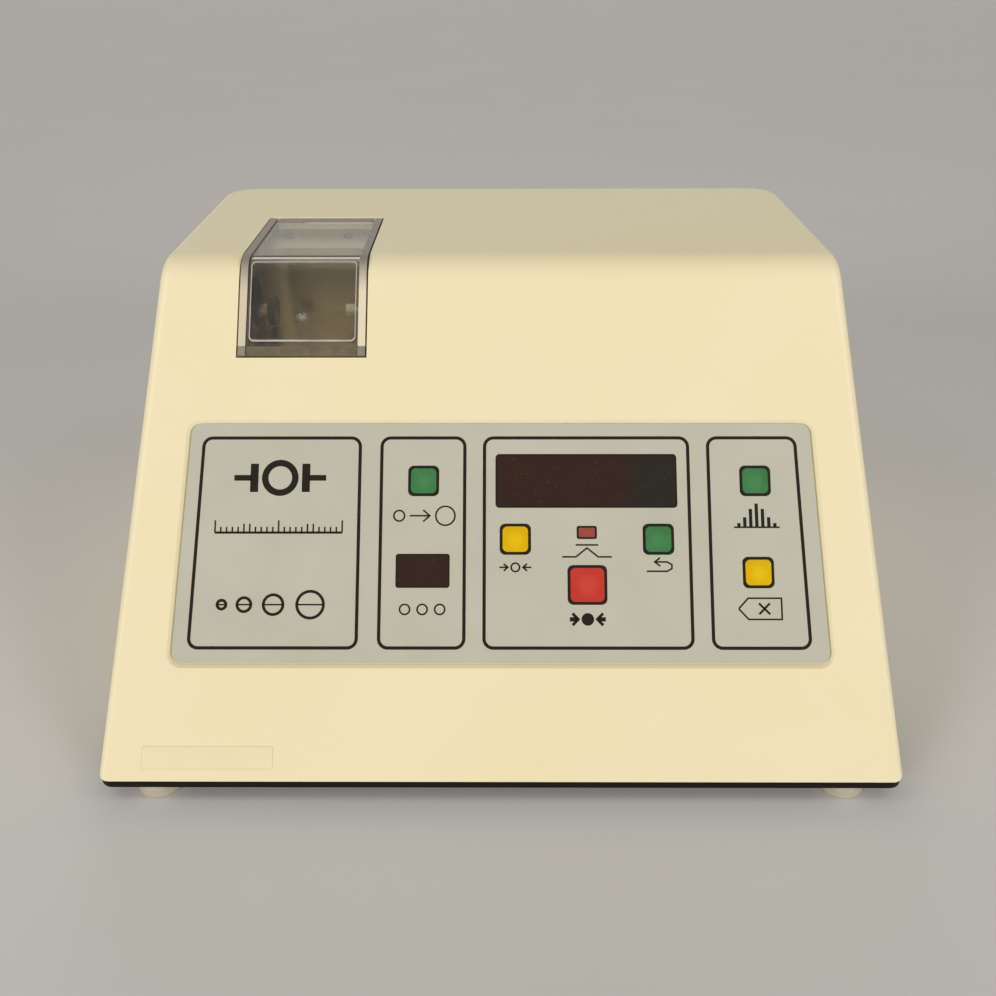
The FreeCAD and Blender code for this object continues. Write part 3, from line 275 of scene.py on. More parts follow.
def finish(name, main, second, grain, rough, relief=0.0, stretch=(1, 1, 1), metal=0.0, **constants):
    """A surface of two close colours mixed at one grain size, with roughness and relief from the grain.

    grain and relief are in millimetres, and rough is the lowest and highest roughness.
    """
    made, tree, where = material(name, Metallic=metal, **constants)
    scaled = add(tree, "Mapping", inputs={"Vector": where, "Scale": stretch})
    noise = add(tree, "TexNoise", inputs={"Vector": scaled.outputs[0], "Scale": per(grain), "Detail": 4.0})
    spread = add(tree, "MapRange", inputs={"Value": noise.outputs[0], LOW: 0.3, HIGH: 0.7})
    tint = add(tree, "Mix", COLOURS, {"Factor": spread.outputs[0], "A": colour(main), "B": colour(second)})
    gloss = add(tree, "MapRange",
                inputs={"Value": noise.outputs[0], LOW: 0.3, HIGH: 0.7, TO_LOW: rough[0], TO_HIGH: rough[1]})
    plug(made, Base_Color=tint.outputs["Result"], Roughness=gloss.outputs[0])
    if relief:
        bump = add(tree, "Bump", inputs={"Height": noise.outputs[0], "Distance": relief * MM})
        plug(made, Normal=bump.outputs[0])
    return made


def sprayed_enamel():
    """Two-pack enamel sprayed on a glass-fibre moulding: cream with a soft shine, a little yellowed in
    patches, with a faint orange peel and fine dark specks of dirt."""
    made, tree, where = material("sprayed cream enamel", Coat_Weight=0.2, Coat_Roughness=0.2)
    patches = add(tree, "TexNoise", inputs={"Vector": where, "Scale": per(90), "Detail": 3.0})
    base = add(tree, "Mix", COLOURS,
               {"Factor": patches.outputs[0], "A": colour("#ECE0BA"), "B": colour("#E8DAAE")})
    dirt = add(tree, "TexNoise", inputs={"Vector": where, "Scale": per(2.6), "Detail": 2.0})
    speck = add(tree, "MapRange", inputs={"Value": dirt.outputs[0], LOW: 0.83, HIGH: 0.88})
    where_dirty = add(tree, "TexNoise", inputs={"Vector": where, "Scale": per(45)})
    dirty = add(tree, "MapRange",
                inputs={"Value": where_dirty.outputs[0], LOW: 0.45, HIGH: 0.65, TO_HIGH: 0.55})
    amount = add(tree, "Math", {"operation": "MULTIPLY"}, {0: speck.outputs[0], 1: dirty.outputs[0]})
    specked = add(tree, "Mix", COLOURS,
                  {"Factor": amount.outputs[0], "A": base.outputs["Result"], "B": colour("#8C7A55")})
    wear = add(tree, "TexNoise", inputs={"Vector": where, "Scale": per(30), "Detail": 3.0})
    gloss = add(tree, "MapRange",
                inputs={"Value": wear.outputs[0], LOW: 0.3, HIGH: 0.7, TO_LOW: 0.32, TO_HIGH: 0.4})
    peel = add(tree, "TexNoise", inputs={"Vector": where, "Scale": per(6.0), "Detail": 1.0})
    bump = add(tree, "Bump", inputs={"Height": peel.outputs[0], "Distance": 0.0015 * MM})
    plug(made, Base_Color=specked.outputs["Result"], Roughness=gloss.outputs[0], Normal=bump.outputs[0])
    return made


def key_colour(name, main, second, paler_middle_colour):
    """Printed polyester over a domed key: finely textured, in cloudy patches, and paler in the middle."""
    made, tree, where = material(name, Specular_IOR_Level=0.22)
    over_key = add(tree, "TexCoord").outputs["Generated"]
    patch = add(tree, "TexNoise", inputs={"Vector": where, "Scale": per(9), "Detail": 2.0})
    spread = add(tree, "MapRange", inputs={"Value": patch.outputs[0], LOW: 0.38, HIGH: 0.66})
    tint = add(tree, "Mix", COLOURS, {"Factor": spread.outputs[0], "A": colour(main), "B": colour(second)})
    from_middle = add(tree, "VectorMath", {"operation": "MULTIPLY_ADD"},
                      {0: over_key, 1: (1, 0, 1), 2: (-0.5, 0, -0.5)})
    distance = add(tree, "VectorMath", {"operation": "LENGTH"}, {0: from_middle.outputs[0]})
    # Paler towards the key's middle
    middle = add(tree, "MapRange", SMOOTH,
                 {"Value": distance.outputs["Value"], LOW: 0.46, HIGH: 0.08, TO_HIGH: 0.7})
    paled_middle = add(tree, "Mix", COLOURS,
                  {"Factor": middle.outputs[0], "A": tint.outputs["Result"], "B": colour(paler_middle_colour)})
    # Sheet grain of about 0.2 mm, drawn at 0.5 mm so that it shows
    grain = add(tree, "TexNoise", inputs={"Vector": where, "Scale": per(0.5)})
    bump = add(tree, "Bump", inputs={"Height": grain.outputs[0], "Distance": 0.008 * MM})
    gloss = add(tree, "MapRange", inputs={"Value": grain.outputs[0], TO_LOW: 0.34, TO_HIGH: 0.5})
    plug(made, Base_Color=paled_middle.outputs["Result"], Roughness=gloss.outputs[0], Normal=bump.outputs[0])
    return made


def tinted_window():
    """Smoked acrylic over unlit red digits: near black, redder over the digits, shiny, dusty in spots."""
    made, tree, where = material("smoked acrylic", Specular_IOR_Level=0.32)
    along = add(tree, "SeparateXYZ", inputs={"Vector": where}).outputs["X"]
    digits_end = add(tree, "MapRange", SMOOTH,
                     {"Value": along, LOW: DIGITS_END_X[0] * MM, HIGH: DIGITS_END_X[1] * MM})
    tint = add(tree, "Mix", COLOURS,
               {"Factor": digits_end.outputs[0], "A": colour("#2A150B"), "B": colour("#1F1B12")})
    dust = add(tree, "TexNoise", inputs={"Vector": where, "Scale": per(1.6), "Detail": 3.0})
    spots = add(tree, "MapRange", inputs={"Value": dust.outputs[0], LOW: 0.62, HIGH: 0.8, TO_HIGH: 0.22})
    dusty = add(tree, "Mix", COLOURS,
                {"Factor": spots.outputs[0], "A": tint.outputs["Result"], "B": colour("#6E5C4C")})
    gloss = add(tree, "MapRange", inputs={"Value": dust.outputs[0], TO_LOW: 0.12, TO_HIGH: 0.34})
    plug(made, Base_Color=dusty.outputs["Result"], Roughness=gloss.outputs[0])
    return made


def clear_acrylic():
    """Bent and polished acrylic sheet: clear, faintly grey, with a little haze from years of wiping."""
    made, tree, where = material("polished acrylic sheet", Transmission_Weight=1.0, IOR=1.49,
                                 Base_Color=colour("#FBFBF7"))
    haze = add(tree, "TexNoise", inputs={"Vector": where, "Scale": per(7), "Detail": 6.0})
    gloss = add(tree, "MapRange",
                inputs={"Value": haze.outputs[0], LOW: 0.4, HIGH: 0.75, TO_LOW: 0.0, TO_HIGH: 0.04})
    bump = add(tree, "Bump", inputs={"Height": haze.outputs[0], "Distance": 0.002 * MM})
    plug(made, Roughness=gloss.outputs[0], Normal=bump.outputs[0])
    return made


def lid_side_acrylic():
    """Thick acrylic plates with sawn edges: the front run is pale and dull, and paler on the right rail. The
    top run is painted greyer, a painted shade, and lets the dark gap show through."""
    made, tree, where = material("thick acrylic with sawn edges", IOR=1.49)
    split = add(tree, "SeparateXYZ", inputs={"Vector": where})
    # The top run past the bend is painted a darker grey: painted shade
    painted_shade_top = add(tree, "MapRange", SMOOTH,
                {"Value": split.outputs["Y"], LOW: LID_BEND_Y[0] * MM, HIGH: LID_BEND_Y[1] * MM})
    right = add(tree, "MapRange",
                inputs={"Value": split.outputs["X"], LOW: LID_MIDDLE_X[0] * MM, HIGH: LID_MIDDLE_X[1] * MM})
    mottle = add(tree, "TexNoise", inputs={"Vector": where, "Scale": per(4), "Detail": 4.0})
    pale = add(tree, "Mix", COLOURS,
               {"Factor": mottle.outputs[0], "A": colour("#DACCAD"), "B": colour("#E3D6B9")})
    # The right rail is paler
    paler_right_rail = add(tree, "Mix", COLOURS,
               {"Factor": right.outputs[0], "A": pale.outputs["Result"], "B": colour("#F0E2C4")})
    tint = add(tree, "Mix", COLOURS,
               {"Factor": painted_shade_top.outputs[0], "A": paler_right_rail.outputs["Result"], "B": colour("#ABA598")})
    through = add(tree, "MapRange", inputs={"Value": painted_shade_top.outputs[0], TO_LOW: 0.15, TO_HIGH: 0.5})
    gloss = add(tree, "MapRange", inputs={"Value": mottle.outputs[0], TO_LOW: 0.2, TO_HIGH: 0.4})
    saw = add(tree, "Bump", inputs={"Height": mottle.outputs[0], "Distance": 0.006 * MM})
    plug(made, Base_Color=tint.outputs["Result"], Transmission_Weight=through.outputs[0],
         Roughness=gloss.outputs[0], Normal=saw.outputs[0])
    return made


def turned_jaw_steel():
    """Fine-turned steel: the jaw's pad is painted dark, a painted reflection of the dark chamber, and its
    stem is bright.
    """
    made, tree, where = material("turned jaw steel", Metallic=1.0)
    along = add(tree, "SeparateXYZ", inputs={"Vector": where}).outputs["X"]
    # Where the pad starts; the pad is painted dark as a reflection
    pad = add(tree, "MapRange", inputs={"Value": along, LOW: JAW_PAD_X[0] * MM, HIGH: JAW_PAD_X[1] * MM})
    turning = add(tree, "TexNoise", inputs={"Vector": where, "Scale": per(2), "Detail": 4.0})
    stem = add(tree, "Mix", COLOURS,
               {"Factor": turning.outputs[0], "A": colour("#EDE6D2"), "B": colour("#D8D0BA")})
    # Painted reflection of the dark chamber on the pad
    dark = add(tree, "Mix", COLOURS,
               {"Factor": turning.outputs[0], "A": colour("#6E685A"), "B": colour("#514C41")})
    tint = add(tree, "Mix", COLOURS,
               {"Factor": pad.outputs[0], "A": stem.outputs["Result"], "B": dark.outputs["Result"]})
    gloss = add(tree, "MapRange", inputs={"Value": turning.outputs[0], TO_LOW: 0.18, TO_HIGH: 0.32})
    plug(made, Base_Color=tint.outputs["Result"], Roughness=gloss.outputs[0])
    return made


def polished_sheet():
    """Polished stainless sheet: rolled grain along the bend and smeared reflections. It is painted darker
    inside the chamber, a painted shade, and paler on the rougher flange above, a painted highlight."""
    made, tree, where = material("polished stainless sheet", Metallic=1.0)
    height = add(tree, "SeparateXYZ", inputs={"Vector": where}).outputs["Z"]
    along = add(tree, "Mapping", inputs={"Vector": where, "Scale": (1, 1, 0.1)})
    grain = add(tree, "TexNoise", inputs={"Vector": along.outputs[0], "Scale": per(5), "Detail": 4.0})
    painted_light_flange = add(tree, "MapRange", SMOOTH,
                {"Value": height, LOW: PAINTED_LIGHT_FLANGE_Z[0] * MM, HIGH: PAINTED_LIGHT_FLANGE_Z[1] * MM})
    # Painted shade inside the chamber: a darker, yellower tone
    dull = add(tree, "Mix", COLOURS,
               {"Factor": grain.outputs[0], "A": colour("#C4B795"), "B": colour("#BAAD8B")})
    # Painted highlight on the flange above the chamber
    bright = add(tree, "Mix", COLOURS,
                 {"Factor": grain.outputs[0], "A": colour("#E6DECA"), "B": colour("#DCD4BF")})
    tint = add(tree, "Mix", COLOURS,
               {"Factor": painted_light_flange.outputs[0], "A": dull.outputs["Result"], "B": bright.outputs["Result"]})
    polish = add(tree, "MapRange",
                 inputs={"Value": grain.outputs[0], LOW: 0.3, HIGH: 0.7, TO_LOW: 0.28, TO_HIGH: 0.34})
    gloss = add(tree, "Mix", {"data_type": "FLOAT"},
                {"Factor": painted_light_flange.outputs[0], "A": polish.outputs[0], "B": 0.5})
    rolled = add(tree, "Bump", inputs={"Height": grain.outputs[0], "Distance": 0.0006 * MM})
    plug(made, Base_Color=tint.outputs["Result"], Roughness=gloss.outputs["Result"],
         Normal=rolled.outputs[0])
    return made


def circuit_board():
    """Glass-fibre board under green solder mask: straight copper tracks show as paler green lines."""
    made, tree, where = material("green solder mask", Coat_Weight=0.3)
    tracks = add(tree, "TexBrick", {"offset": 0.3},
                 {"Vector": where, "Scale": per(10), "Color1": colour("#1E5A38"),
                  "Color2": colour("#1A4F32"), "Mortar": colour("#3F8458"), "Mortar Size": 0.03})
    grain = add(tree, "TexNoise", inputs={"Vector": where, "Scale": per(3)})
    gloss = add(tree, "MapRange", inputs={"Value": grain.outputs[0], TO_LOW: 0.3, TO_HIGH: 0.45})
    plug(made, Base_Color=tracks.outputs["Color"], Roughness=gloss.outputs[0])
    return made


ENAMEL = sprayed_enamel()
# Screen-printed polyester sheet with a fine texture: soft sheen, faint cloudy tone
POLYESTER = finish("textured polyester sheet", "#BBB9A6", "#B6B4A0", 28, (0.36, 0.46), 0.01)
# Black ink printed behind the sheet: even and a little softer than paint
INK = finish("black screen ink", "#14110C", "#1A1610", 6, (0.5, 0.6), Specular_IOR_Level=0.3)
GREEN_KEY = key_colour("green key print", "#3F7A46", "#376F40", "#488250")
YELLOW_KEY = key_colour("yellow key print", "#DAAE02", "#D1A500", "#E2BC18")
RED_KEY = key_colour("red key print", "#C0392D", "#B8352A", "#C84839")
WINDOW = tinted_window()
# Red filter over an unlit lamp: dull brick red
LENS = finish("red filter", "#964432", "#8C3F30", 3, (0.2, 0.3))
LID_CLEAR = clear_acrylic()
LID_SIDE = lid_side_acrylic()
# The polished rim of the engraved window is a thin pale line, a painted highlight
PAINTED_EDGE_HIGHLIGHT = finish("pale acrylic edge painted as a highlight", "#CFCAC4", "#B4ADA6", 9, (0.1, 0.2),
                   Transmission_Weight=0.25)
# Clear label film over the enamel: the same cream, a little duller, with a faint grey edge of dust
LABEL_FILM = finish("clear label film", "#E9DDB6", "#E6D9B0", 20, (0.3, 0.42))
LABEL_EDGE = finish("dusty label edge", "#C9BE9B", "#D4C9A5", 3, (0.4, 0.5))
# Blackened steel screws: near black, with a soft shine. Also the painted shade in screw recesses and nut
# holes
BLACK_OXIDE_AND_RECESS_SHADE = finish("black-oxide steel", "#3A3835", "#2C2A28", 2, (0.3, 0.45), 0.006, metal=0.9)
# The fixed jaw: its pad is painted dark, a painted reflection
JAW_WITH_PAINTED_DARK_PAD = turned_jaw_steel()
# Steel turned along its axis: fine rings, pale under the clear lid. It is painted near white and barely
# metallic so that it shows bright all over, a painted reflection
PAINTED_BRIGHT_STEEL = finish("bright turned steel", "#F4EDD8", "#E2DAC4", 2, (0.2, 0.3), 0.004, (1, 0.2, 0.2), 0.25)
STAINLESS = polished_sheet()
# The floor screw is paler and less metallic than the other zinc-plated steel
ZINC_BRIGHT = finish("bright zinc plate", "#FAF5E8", "#E4DECE", 1.5, (0.25, 0.38), 0.004, metal=0.15)
# Metals inside the case, each with the streaks or grain that its making leaves
GROUND_ROD = finish("ground stainless rod", "#B5B1A6", "#A29E93", 1.2, (0.18, 0.3), 0.004,
                    (1, 0.2, 0.2), 1.0)
ZINC = finish("zinc-plated steel", "#A9A79F", "#8F8D86", 5, (0.28, 0.45), 0.006, metal=1.0)
ALUMINIUM = finish("milled aluminium", "#C4C4C2", "#B2B2B0", 2.5, (0.28, 0.42), 0.01, (0.2, 1, 1), 1.0)
BRONZE = finish("turned bronze", "#B98A4C", "#A67A40", 2, (0.25, 0.4), 0.006, metal=1.0)
BEARING = finish("bearing steel", "#C2C2C0", "#AFAFAD", 3, (0.12, 0.22), metal=1.0)
# Powder coat on steel: black, satin, finely pebbled
POWDER_COAT = finish("black powder coat", "#0F0E0B", "#151310", 0.8, (0.5, 0.62), 0.02,
                     Specular_IOR_Level=0.18)
# Injection-moulded plastic: black, satin, with the mould's fine texture
BLACK_PLASTIC = finish("moulded black plastic", "#1E1C19", "#27241F", 1.5, (0.36, 0.5), 0.012)
# Acrylic strip over the dark gap: brown-black and shiny, its dark colour a painted shade of the gap behind
# it
LID_STRIP_WITH_PAINTED_SHADE = finish("dark acrylic strip", "#6F634B", "#574E3B", 5, (0.15, 0.3), 0.004, Coat_Weight=0.3)
# Moulded rubber feet: dull, a little yellowed
RUBBER = finish("pale moulded rubber", "#B9B19A", "#A9A18B", 5, (0.5, 0.65), 0.03)
CLEAR_POLYESTER = finish("clear polyester film", "#BDBDB4", "#B3B3AA", 12, (0.3, 0.4))
BOARD = circuit_board()
# Cast nylon: milky, soft shine
NYLON = finish("milky nylon", "#DDD6C4", "#CFC8B5", 3, (0.3, 0.42), 0.01, Subsurface_Weight=0.2)
# Acrylic blocks with sawn faces: grey and clouded
CORNER = finish("clouded acrylic corner", "#8E8A7A", "#A8A391", 2.2, (0.3, 0.5), 0.05,
                Transmission_Weight=0.3)
# Stacked core sheets 0.5 mm thick, varnished: fine level lines
CORE = finish("varnished core sheets", "#46443F", "#2F2D29", 0.5, (0.4, 0.55), 0.03, (0.02, 1, 0.02), 0.6)
# Polyester tape round the winding: amber, with level bands
TAPE = finish("amber winding tape", "#B98A35", "#A67A2C", 4, (0.3, 0.45), 0.03, (1, 1, 4))
# Nickel-plated, printed and gilt parts of the rear panel
CONNECTOR = finish("nickel-plated shell", "#BDBBB4", "#A8A69F", 4, (0.22, 0.35), 0.006, metal=1.0)
WHITE_PRINT = finish("white marking ink", "#D8D6CE", "#CDCBC2", 2, (0.4, 0.5))
GOLD_PIN = finish("gilt contact", "#C9A24E", "#BD9645", 1.5, (0.2, 0.3), metal=1.0)

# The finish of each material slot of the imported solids, and of the nodes that have one of their own
SLOT_FINISH = {
    "cream_moulding": ENAMEL, "black_painted_steel": POWDER_COAT, "pale_rubber": RUBBER,
    "zinc_plated_steel": ZINC, "grey_polyester": POLYESTER, "clear_polyester": CLEAR_POLYESTER,
    "green_circuit_board": BOARD, "polished_stainless": STAINLESS, "white_nylon": NYLON,
    "clear_acrylic": LID_CLEAR, "frosted_acrylic": LID_SIDE, "black_plastic": BLACK_PLASTIC,
    "stainless_rod": GROUND_ROD, "aluminium_plain": ALUMINIUM, "bronze": BRONZE, "bearing_steel": BEARING,
    "core_steel": CORE, "amber_tape": TAPE, "connector_steel": CONNECTOR, "green_key": GREEN_KEY,
    "yellow_key": YELLOW_KEY, "red_key": RED_KEY, "dark_window": WINDOW, "red_lens": LENS,
    "display_body": BLACK_PLASTIC,
}
NODE_FINISH = {
    "lid_corner_blocks": CORNER, "lid_hinge_block": CORNER, "lid_lower_strip": LID_STRIP_WITH_PAINTED_SHADE,
    "lid_hinge_pin": BEARING, "small_screws": BLACK_OXIDE_AND_RECESS_SHADE, "fixed_jaw": JAW_WITH_PAINTED_DARK_PAD,
    "moving_jaw": PAINTED_BRIGHT_STEEL, "plunger_shaft": PAINTED_BRIGHT_STEEL,
}
for part in frame["record"]["subparts"]:
    for holder in frame["nodes"][part["node"]].material_slots:
        holder.material = NODE_FINISH.get(part["node"], SLOT_FINISH[part["material_slot"]])


# Printing on the keypad sheet: it starts just under the sheet's face
PRINT_LOW = SHEET_TOP - PRINT_THICKNESS / 5
PRINT_HIGH = SHEET_TOP + PRINT_THICKNESS
BOX_LINE = 1.7
BOX_CORNER = 5.5
BOX_TOP = 176.1
BOX_BOTTOM = 65.2
# Left and right edge at the bottom, then at the top, of each printed box
BOXES = ((-160.1, -72.6, -156.4, -72.6), (-62.9, -17.7, -62.9, -17.7),
         (-9.1, 99.0, -9.1, 99.0), (107.8, 158.9, 107.8, 155.1))


def printed_boxes():
    """The four outlined groups of the panel. The outer two lean with the sheet's edges."""
    bm = bmesh.new()
    for left_low, right_low, left_high, right_high in BOXES:
        corners = [(left_low, BOX_BOTTOM), (right_low, BOX_BOTTOM),
                   (right_high, BOX_TOP), (left_high, BOX_TOP)]
        border(bm, rounded(corners, BOX_CORNER), rounded(inset(corners, BOX_LINE), BOX_CORNER - BOX_LINE),
               PRINT_LOW, PRINT_HIGH, on_slope)
    piece("printed_boxes", bm, [INK], "tester", "grey_polyester")


printed_boxes()

# Keys: place on the slope, size over the printed border, finish and slot
KEYS = {
    "new_size_key": (-40.0, 152.4, 16.0, GREEN_KEY, "green_key"),
    "zero_key": (7.8, 121.8, 16.0, YELLOW_KEY, "yellow_key"),
    "return_key": (81.8, 121.8, 16.0, GREEN_KEY, "green_key"),
    "test_key": (44.8, 98.2, 20.2, RED_KEY, "red_key"),
    "statistics_key": (132.8, 152.4, 16.0, GREEN_KEY, "green_key"),
    "cancel_key": (132.8, 104.6, 16.0, YELLOW_KEY, "yellow_key"),
}
# The corner's radius, the least it gets, and the share of each step inward that it loses
KEY_CORNER = 3.6
KEY_LEAST_CORNER = 0.6
KEY_CORNER_SHARE = 0.8
# The printed border: its width, its depth, and how far its outer edge is rounded, in and down
KEY_BORDER = 1.4
KEY_BORDER_DEPTH = 0.8
KEY_BORDER_EDGE = (0.05, 0.03)
# The face: its height over the sheet, its depth, its rounded edge and its flat rim
KEY_RISE = 0.25
KEY_FACE_DEPTH = 0.4
KEY_FACE_EDGE = (0.1, 0.08)
KEY_RIM = 0.5
# The shallow groove inside the rim: its side, floor and depth. From there the face rises again up to
# this share of the key's size from its edge
KEY_GROOVE_SIDE = 0.3
KEY_GROOVE_FLOOR = 1.6
KEY_GROOVE_DEPTH = 0.05
KEY_MIDDLE_SHARE = 1 / 3


def key_pieces(name):
    """One key: its printed border, and the coloured face that stands for its solid."""
    x, up, size, face, slot = KEYS[name]
    outline = rectangle(x, up, size, size)

    def ring(amount, height):
        corner = max(KEY_CORNER - amount * KEY_CORNER_SHARE, KEY_LEAST_CORNER)
        return [on_slope(px, py, height) for px, py in rounded(inset(outline, amount), corner)]

    edge_in, edge_down = KEY_BORDER_EDGE
    foot = SHEET_TOP - KEY_BORDER_DEPTH
    bm = bmesh.new()
    loft(bm, [ring(0, foot), ring(0, SHEET_TOP - edge_down), ring(edge_in, SHEET_TOP),
              ring(KEY_BORDER, SHEET_TOP), ring(KEY_BORDER, foot)], closed=True)
    piece(name + "_border", bm, [INK], name, slot)
    edge_in, edge_down = KEY_FACE_EDGE
    top = SHEET_TOP + KEY_RISE
    groove = KEY_BORDER + KEY_RIM + KEY_GROOVE_SIDE
    bm = bmesh.new()
    loft(bm, [ring(KEY_BORDER, SHEET_TOP - KEY_FACE_DEPTH), ring(KEY_BORDER, top - edge_down),
              ring(KEY_BORDER + edge_in, top), ring(KEY_BORDER + KEY_RIM, top),
              ring(groove, top - KEY_GROOVE_DEPTH), ring(groove + KEY_GROOVE_FLOOR, top - KEY_GROOVE_DEPTH),
              ring(size * KEY_MIDDLE_SHARE, top)])
    piece(name + "_face", bm, [face], name, slot, sharp_angle=60, replaces=[name])


for key_name in KEYS:
    key_pieces(key_name)

# Windows: centre on the slope, width, height and corner, and the width of the printed frame
WINDOWS = {
    "main_display": (44.8, 152.4, 94.5, 28.4, 2.0, 0.9),
    "count_display": (-40.0, 105.4, 27.8, 17.5, 2.2, 0.8),
    "lamp": (44.8, 125.3, 10.4, 6.8, 1.1, 0.95),
}
WINDOW_FRAME_SUNK = 0.06
WINDOW_LEAST_CORNER = 0.5


def window_frames():
    """The printed frame over the edge of each window."""
    for name, (x, up, width, height, corner, line) in WINDOWS.items():
        corners = rectangle(x, up, width, height)
        inner_corner = max(corner - line, WINDOW_LEAST_CORNER)
        bm = bmesh.new()
        border(bm, rounded(corners, corner), rounded(inset(corners, line), inner_corner),
               SHEET_TOP - WINDOW_FRAME_SUNK, PRINT_HIGH, on_slope)
        piece(name + "_printed_frame", bm, [INK], "tester", "grey_polyester")


window_frames()

# Signs in the same ink, and the two widths that most of their lines have
THIN = 0.85
FINE = 0.8
SIDES = (-1, 1)
# The large sign's middle, the graduated line's left end and the sizes' height on the slope
TABLET_SIGN = (-115, 154)
SCALE_START = (-148, 125.2)
SIZES_UP = 88
# The graduated line: its marks, the number after which they repeat, and the height of the longer ones
SCALE_PITCH = 3
SCALE_MARKS = 23
SCALE_REPEAT = 11
SCALE_LONGER = {0: 6.4, 5: 4.6, 6: 4.6}
SCALE_SHORT = 3.0
# Place and radius of each disc in the row of tablet sizes, the width of its ring, and how far its
# score line stays inside it
SIZE_DISCS = ((-143, 3.0), (-131.5, 4.3), (-116.5, 5.8), (-97.5, 7.6))
SIZE_RING = 1.5
SCORE_INSIDE = 0.6
# How far under its key's or window's middle each sign's own middle is
SIGN_DROPS = {
    "new_size_key": 18.4, "zero_key": 14.6, "return_key": 16.6, "test_key": 17.6,
    "statistics_key": 24.4, "cancel_key": 18.6, "count_display": 19.8, "lamp": 12.7,
}
# The heights of the bars in the statistics sign, and where they start and repeat
BAR_HEIGHTS = (2.2, 5.2, 9.6, 12.4, 9.6, 5.2, 2.2)
BAR_START = -9.2
BAR_PITCH = 3.1


def sign(bm, middle, strokes=(), rings=(), discs=()):
    """Draws a sign whose points are in millimetres from its middle on the slope."""
    x, up = middle
    for points, width in strokes:
        stroke(bm, [(x + px, up + py) for px, py in points], width, PRINT_LOW, PRINT_HIGH, on_slope)
    for px, py, radius, width in rings:
        border(bm, circle(x + px, up + py, radius), circle(x + px, up + py, radius - width),
               PRINT_LOW, PRINT_HIGH, on_slope)
    for px, py, radius in discs:
        slab(bm, circle(x + px, up + py, radius), PRINT_LOW, PRINT_HIGH, on_slope)


def tablet_signs(bm):
    """A tablet between two jaws, a graduated line under it and a row of tablet sizes."""
    jaws = [([(side * 13.5, -7.5), (side * 13.5, 7.5)], 4.2) for side in SIDES]
    stems = [([(side * 24, 0), (side * 15, 0)], 3.0) for side in SIDES]
    sign(bm, TABLET_SIGN, jaws + stems, [(0, 0, 9.6, 3.4)])
    marks = []
    for step in range(SCALE_MARKS):
        height = SCALE_LONGER.get(step % SCALE_REPEAT, SCALE_SHORT)
        marks.append(([(SCALE_PITCH * step, 0), (SCALE_PITCH * step, height)], FINE))
    sign(bm, SCALE_START, [([(0, 0), (SCALE_PITCH * (SCALE_MARKS - 1), 0)], 1.2)] + marks)
    for x, radius in SIZE_DISCS:
        reach = radius - SCORE_INSIDE
        sign(bm, (x, SIZES_UP), [([(-reach, 0), (reach, 0)], FINE)], [(0, 0, radius, SIZE_RING)])


def key_signs():
    """The strokes, rings and discs of the sign under each key and window."""
    bars = [([(BAR_START + BAR_PITCH * step, 0), (BAR_START + BAR_PITCH * step, height)], 1.7)
            for step, height in enumerate(BAR_HEIGHTS)]
    return {
        # A small and a large disc with an arrow between them
        "new_size_key": ([([(-7, 0), (3, 0)], THIN), ([(0, 3), (3.4, 0), (0, -3)], THIN)],
                         [(-12.5, 0, 3.2, THIN), (11.5, 0, 5.4, THIN)], []),
        # The figure nought between two arrows
        "zero_key": ([([(side * 8.2, 0), (side * 3.9, 0)], THIN) for side in SIDES]
                     + [([(side * 6, 1.8), (side * 3.9, 0), (side * 6, -1.8)], THIN) for side in SIDES],
                     [(0, 0, 2.6, THIN)], []),
        # An arrow that goes out and comes back
        "return_key": ([([(-6.4, 0), (4.2, 0), (6.6, 1.4), (6.6, 3.4), (4.2, 4.8), (-1.8, 4.8)], THIN),
                        ([(0.6, 7), (-2.2, 4.8), (0.6, 2.6)], THIN)], [], []),
        # Bold arrows press on a tablet
        "test_key": ([([(side * 9.2, 0), (side * 5.4, 0)], 2.2) for side in SIDES]
                     + [([(side * 7.8, 3), (side * 4.9, 0), (side * 7.8, -3)], 1.5) for side in SIDES],
                     [], [(0, 0, 3.2)]),
        # A bell of bars on a line
        "statistics_key": ([([(-11.8, 0), (11.8, 0)], THIN)] + bars, [], []),
        # A cross in an arrow that points back
        "cancel_key": ([([(-0.4, -2.8), (5.2, 2.8)], 1.1), ([(-0.4, 2.8), (5.2, -2.8)], 1.1),
                        ([(-10.8, 0), (-5.8, 5.4), (11.2, 5.4), (11.2, -5.4), (-5.8, -5.4), (-10.8, 0)],
                         THIN)], [], []),
        # A tally of tablets
        "count_display": ([], [(place, 0, 3.0, THIN) for place in (-9, 0, 9)], []),
        # A rising and falling line under a held level
        "lamp": ([([(-12.8, 0), (-5.8, 0), (0, 4.6), (5.8, 0), (12.8, 0)], THIN),
                  ([(-5.8, 6.2), (5.8, 6.2)], THIN)], [], []),
    }


def printed_marks():
    bm = bmesh.new()
    tablet_signs(bm)
    for name, parts in key_signs().items():
        x, up = {**KEYS, **WINDOWS}[name][:2]
        sign(bm, (x, up - SIGN_DROPS[name]), *parts)
    piece("printed_marks", bm, [INK], "tester", "grey_polyester")


printed_marks()

# Clear label low on the front, with nothing printed on it: place, size and how far it is sunk
LABEL = (-147.0, 11.5, 66.1, 11.2)
LABEL_CORNER = 0.8
LABEL_THICKNESS = 0.1
LABEL_SUNK = 0.02
LABEL_SIDE_SHARE = 0.6
LABEL_EDGE_WIDTH = 0.25


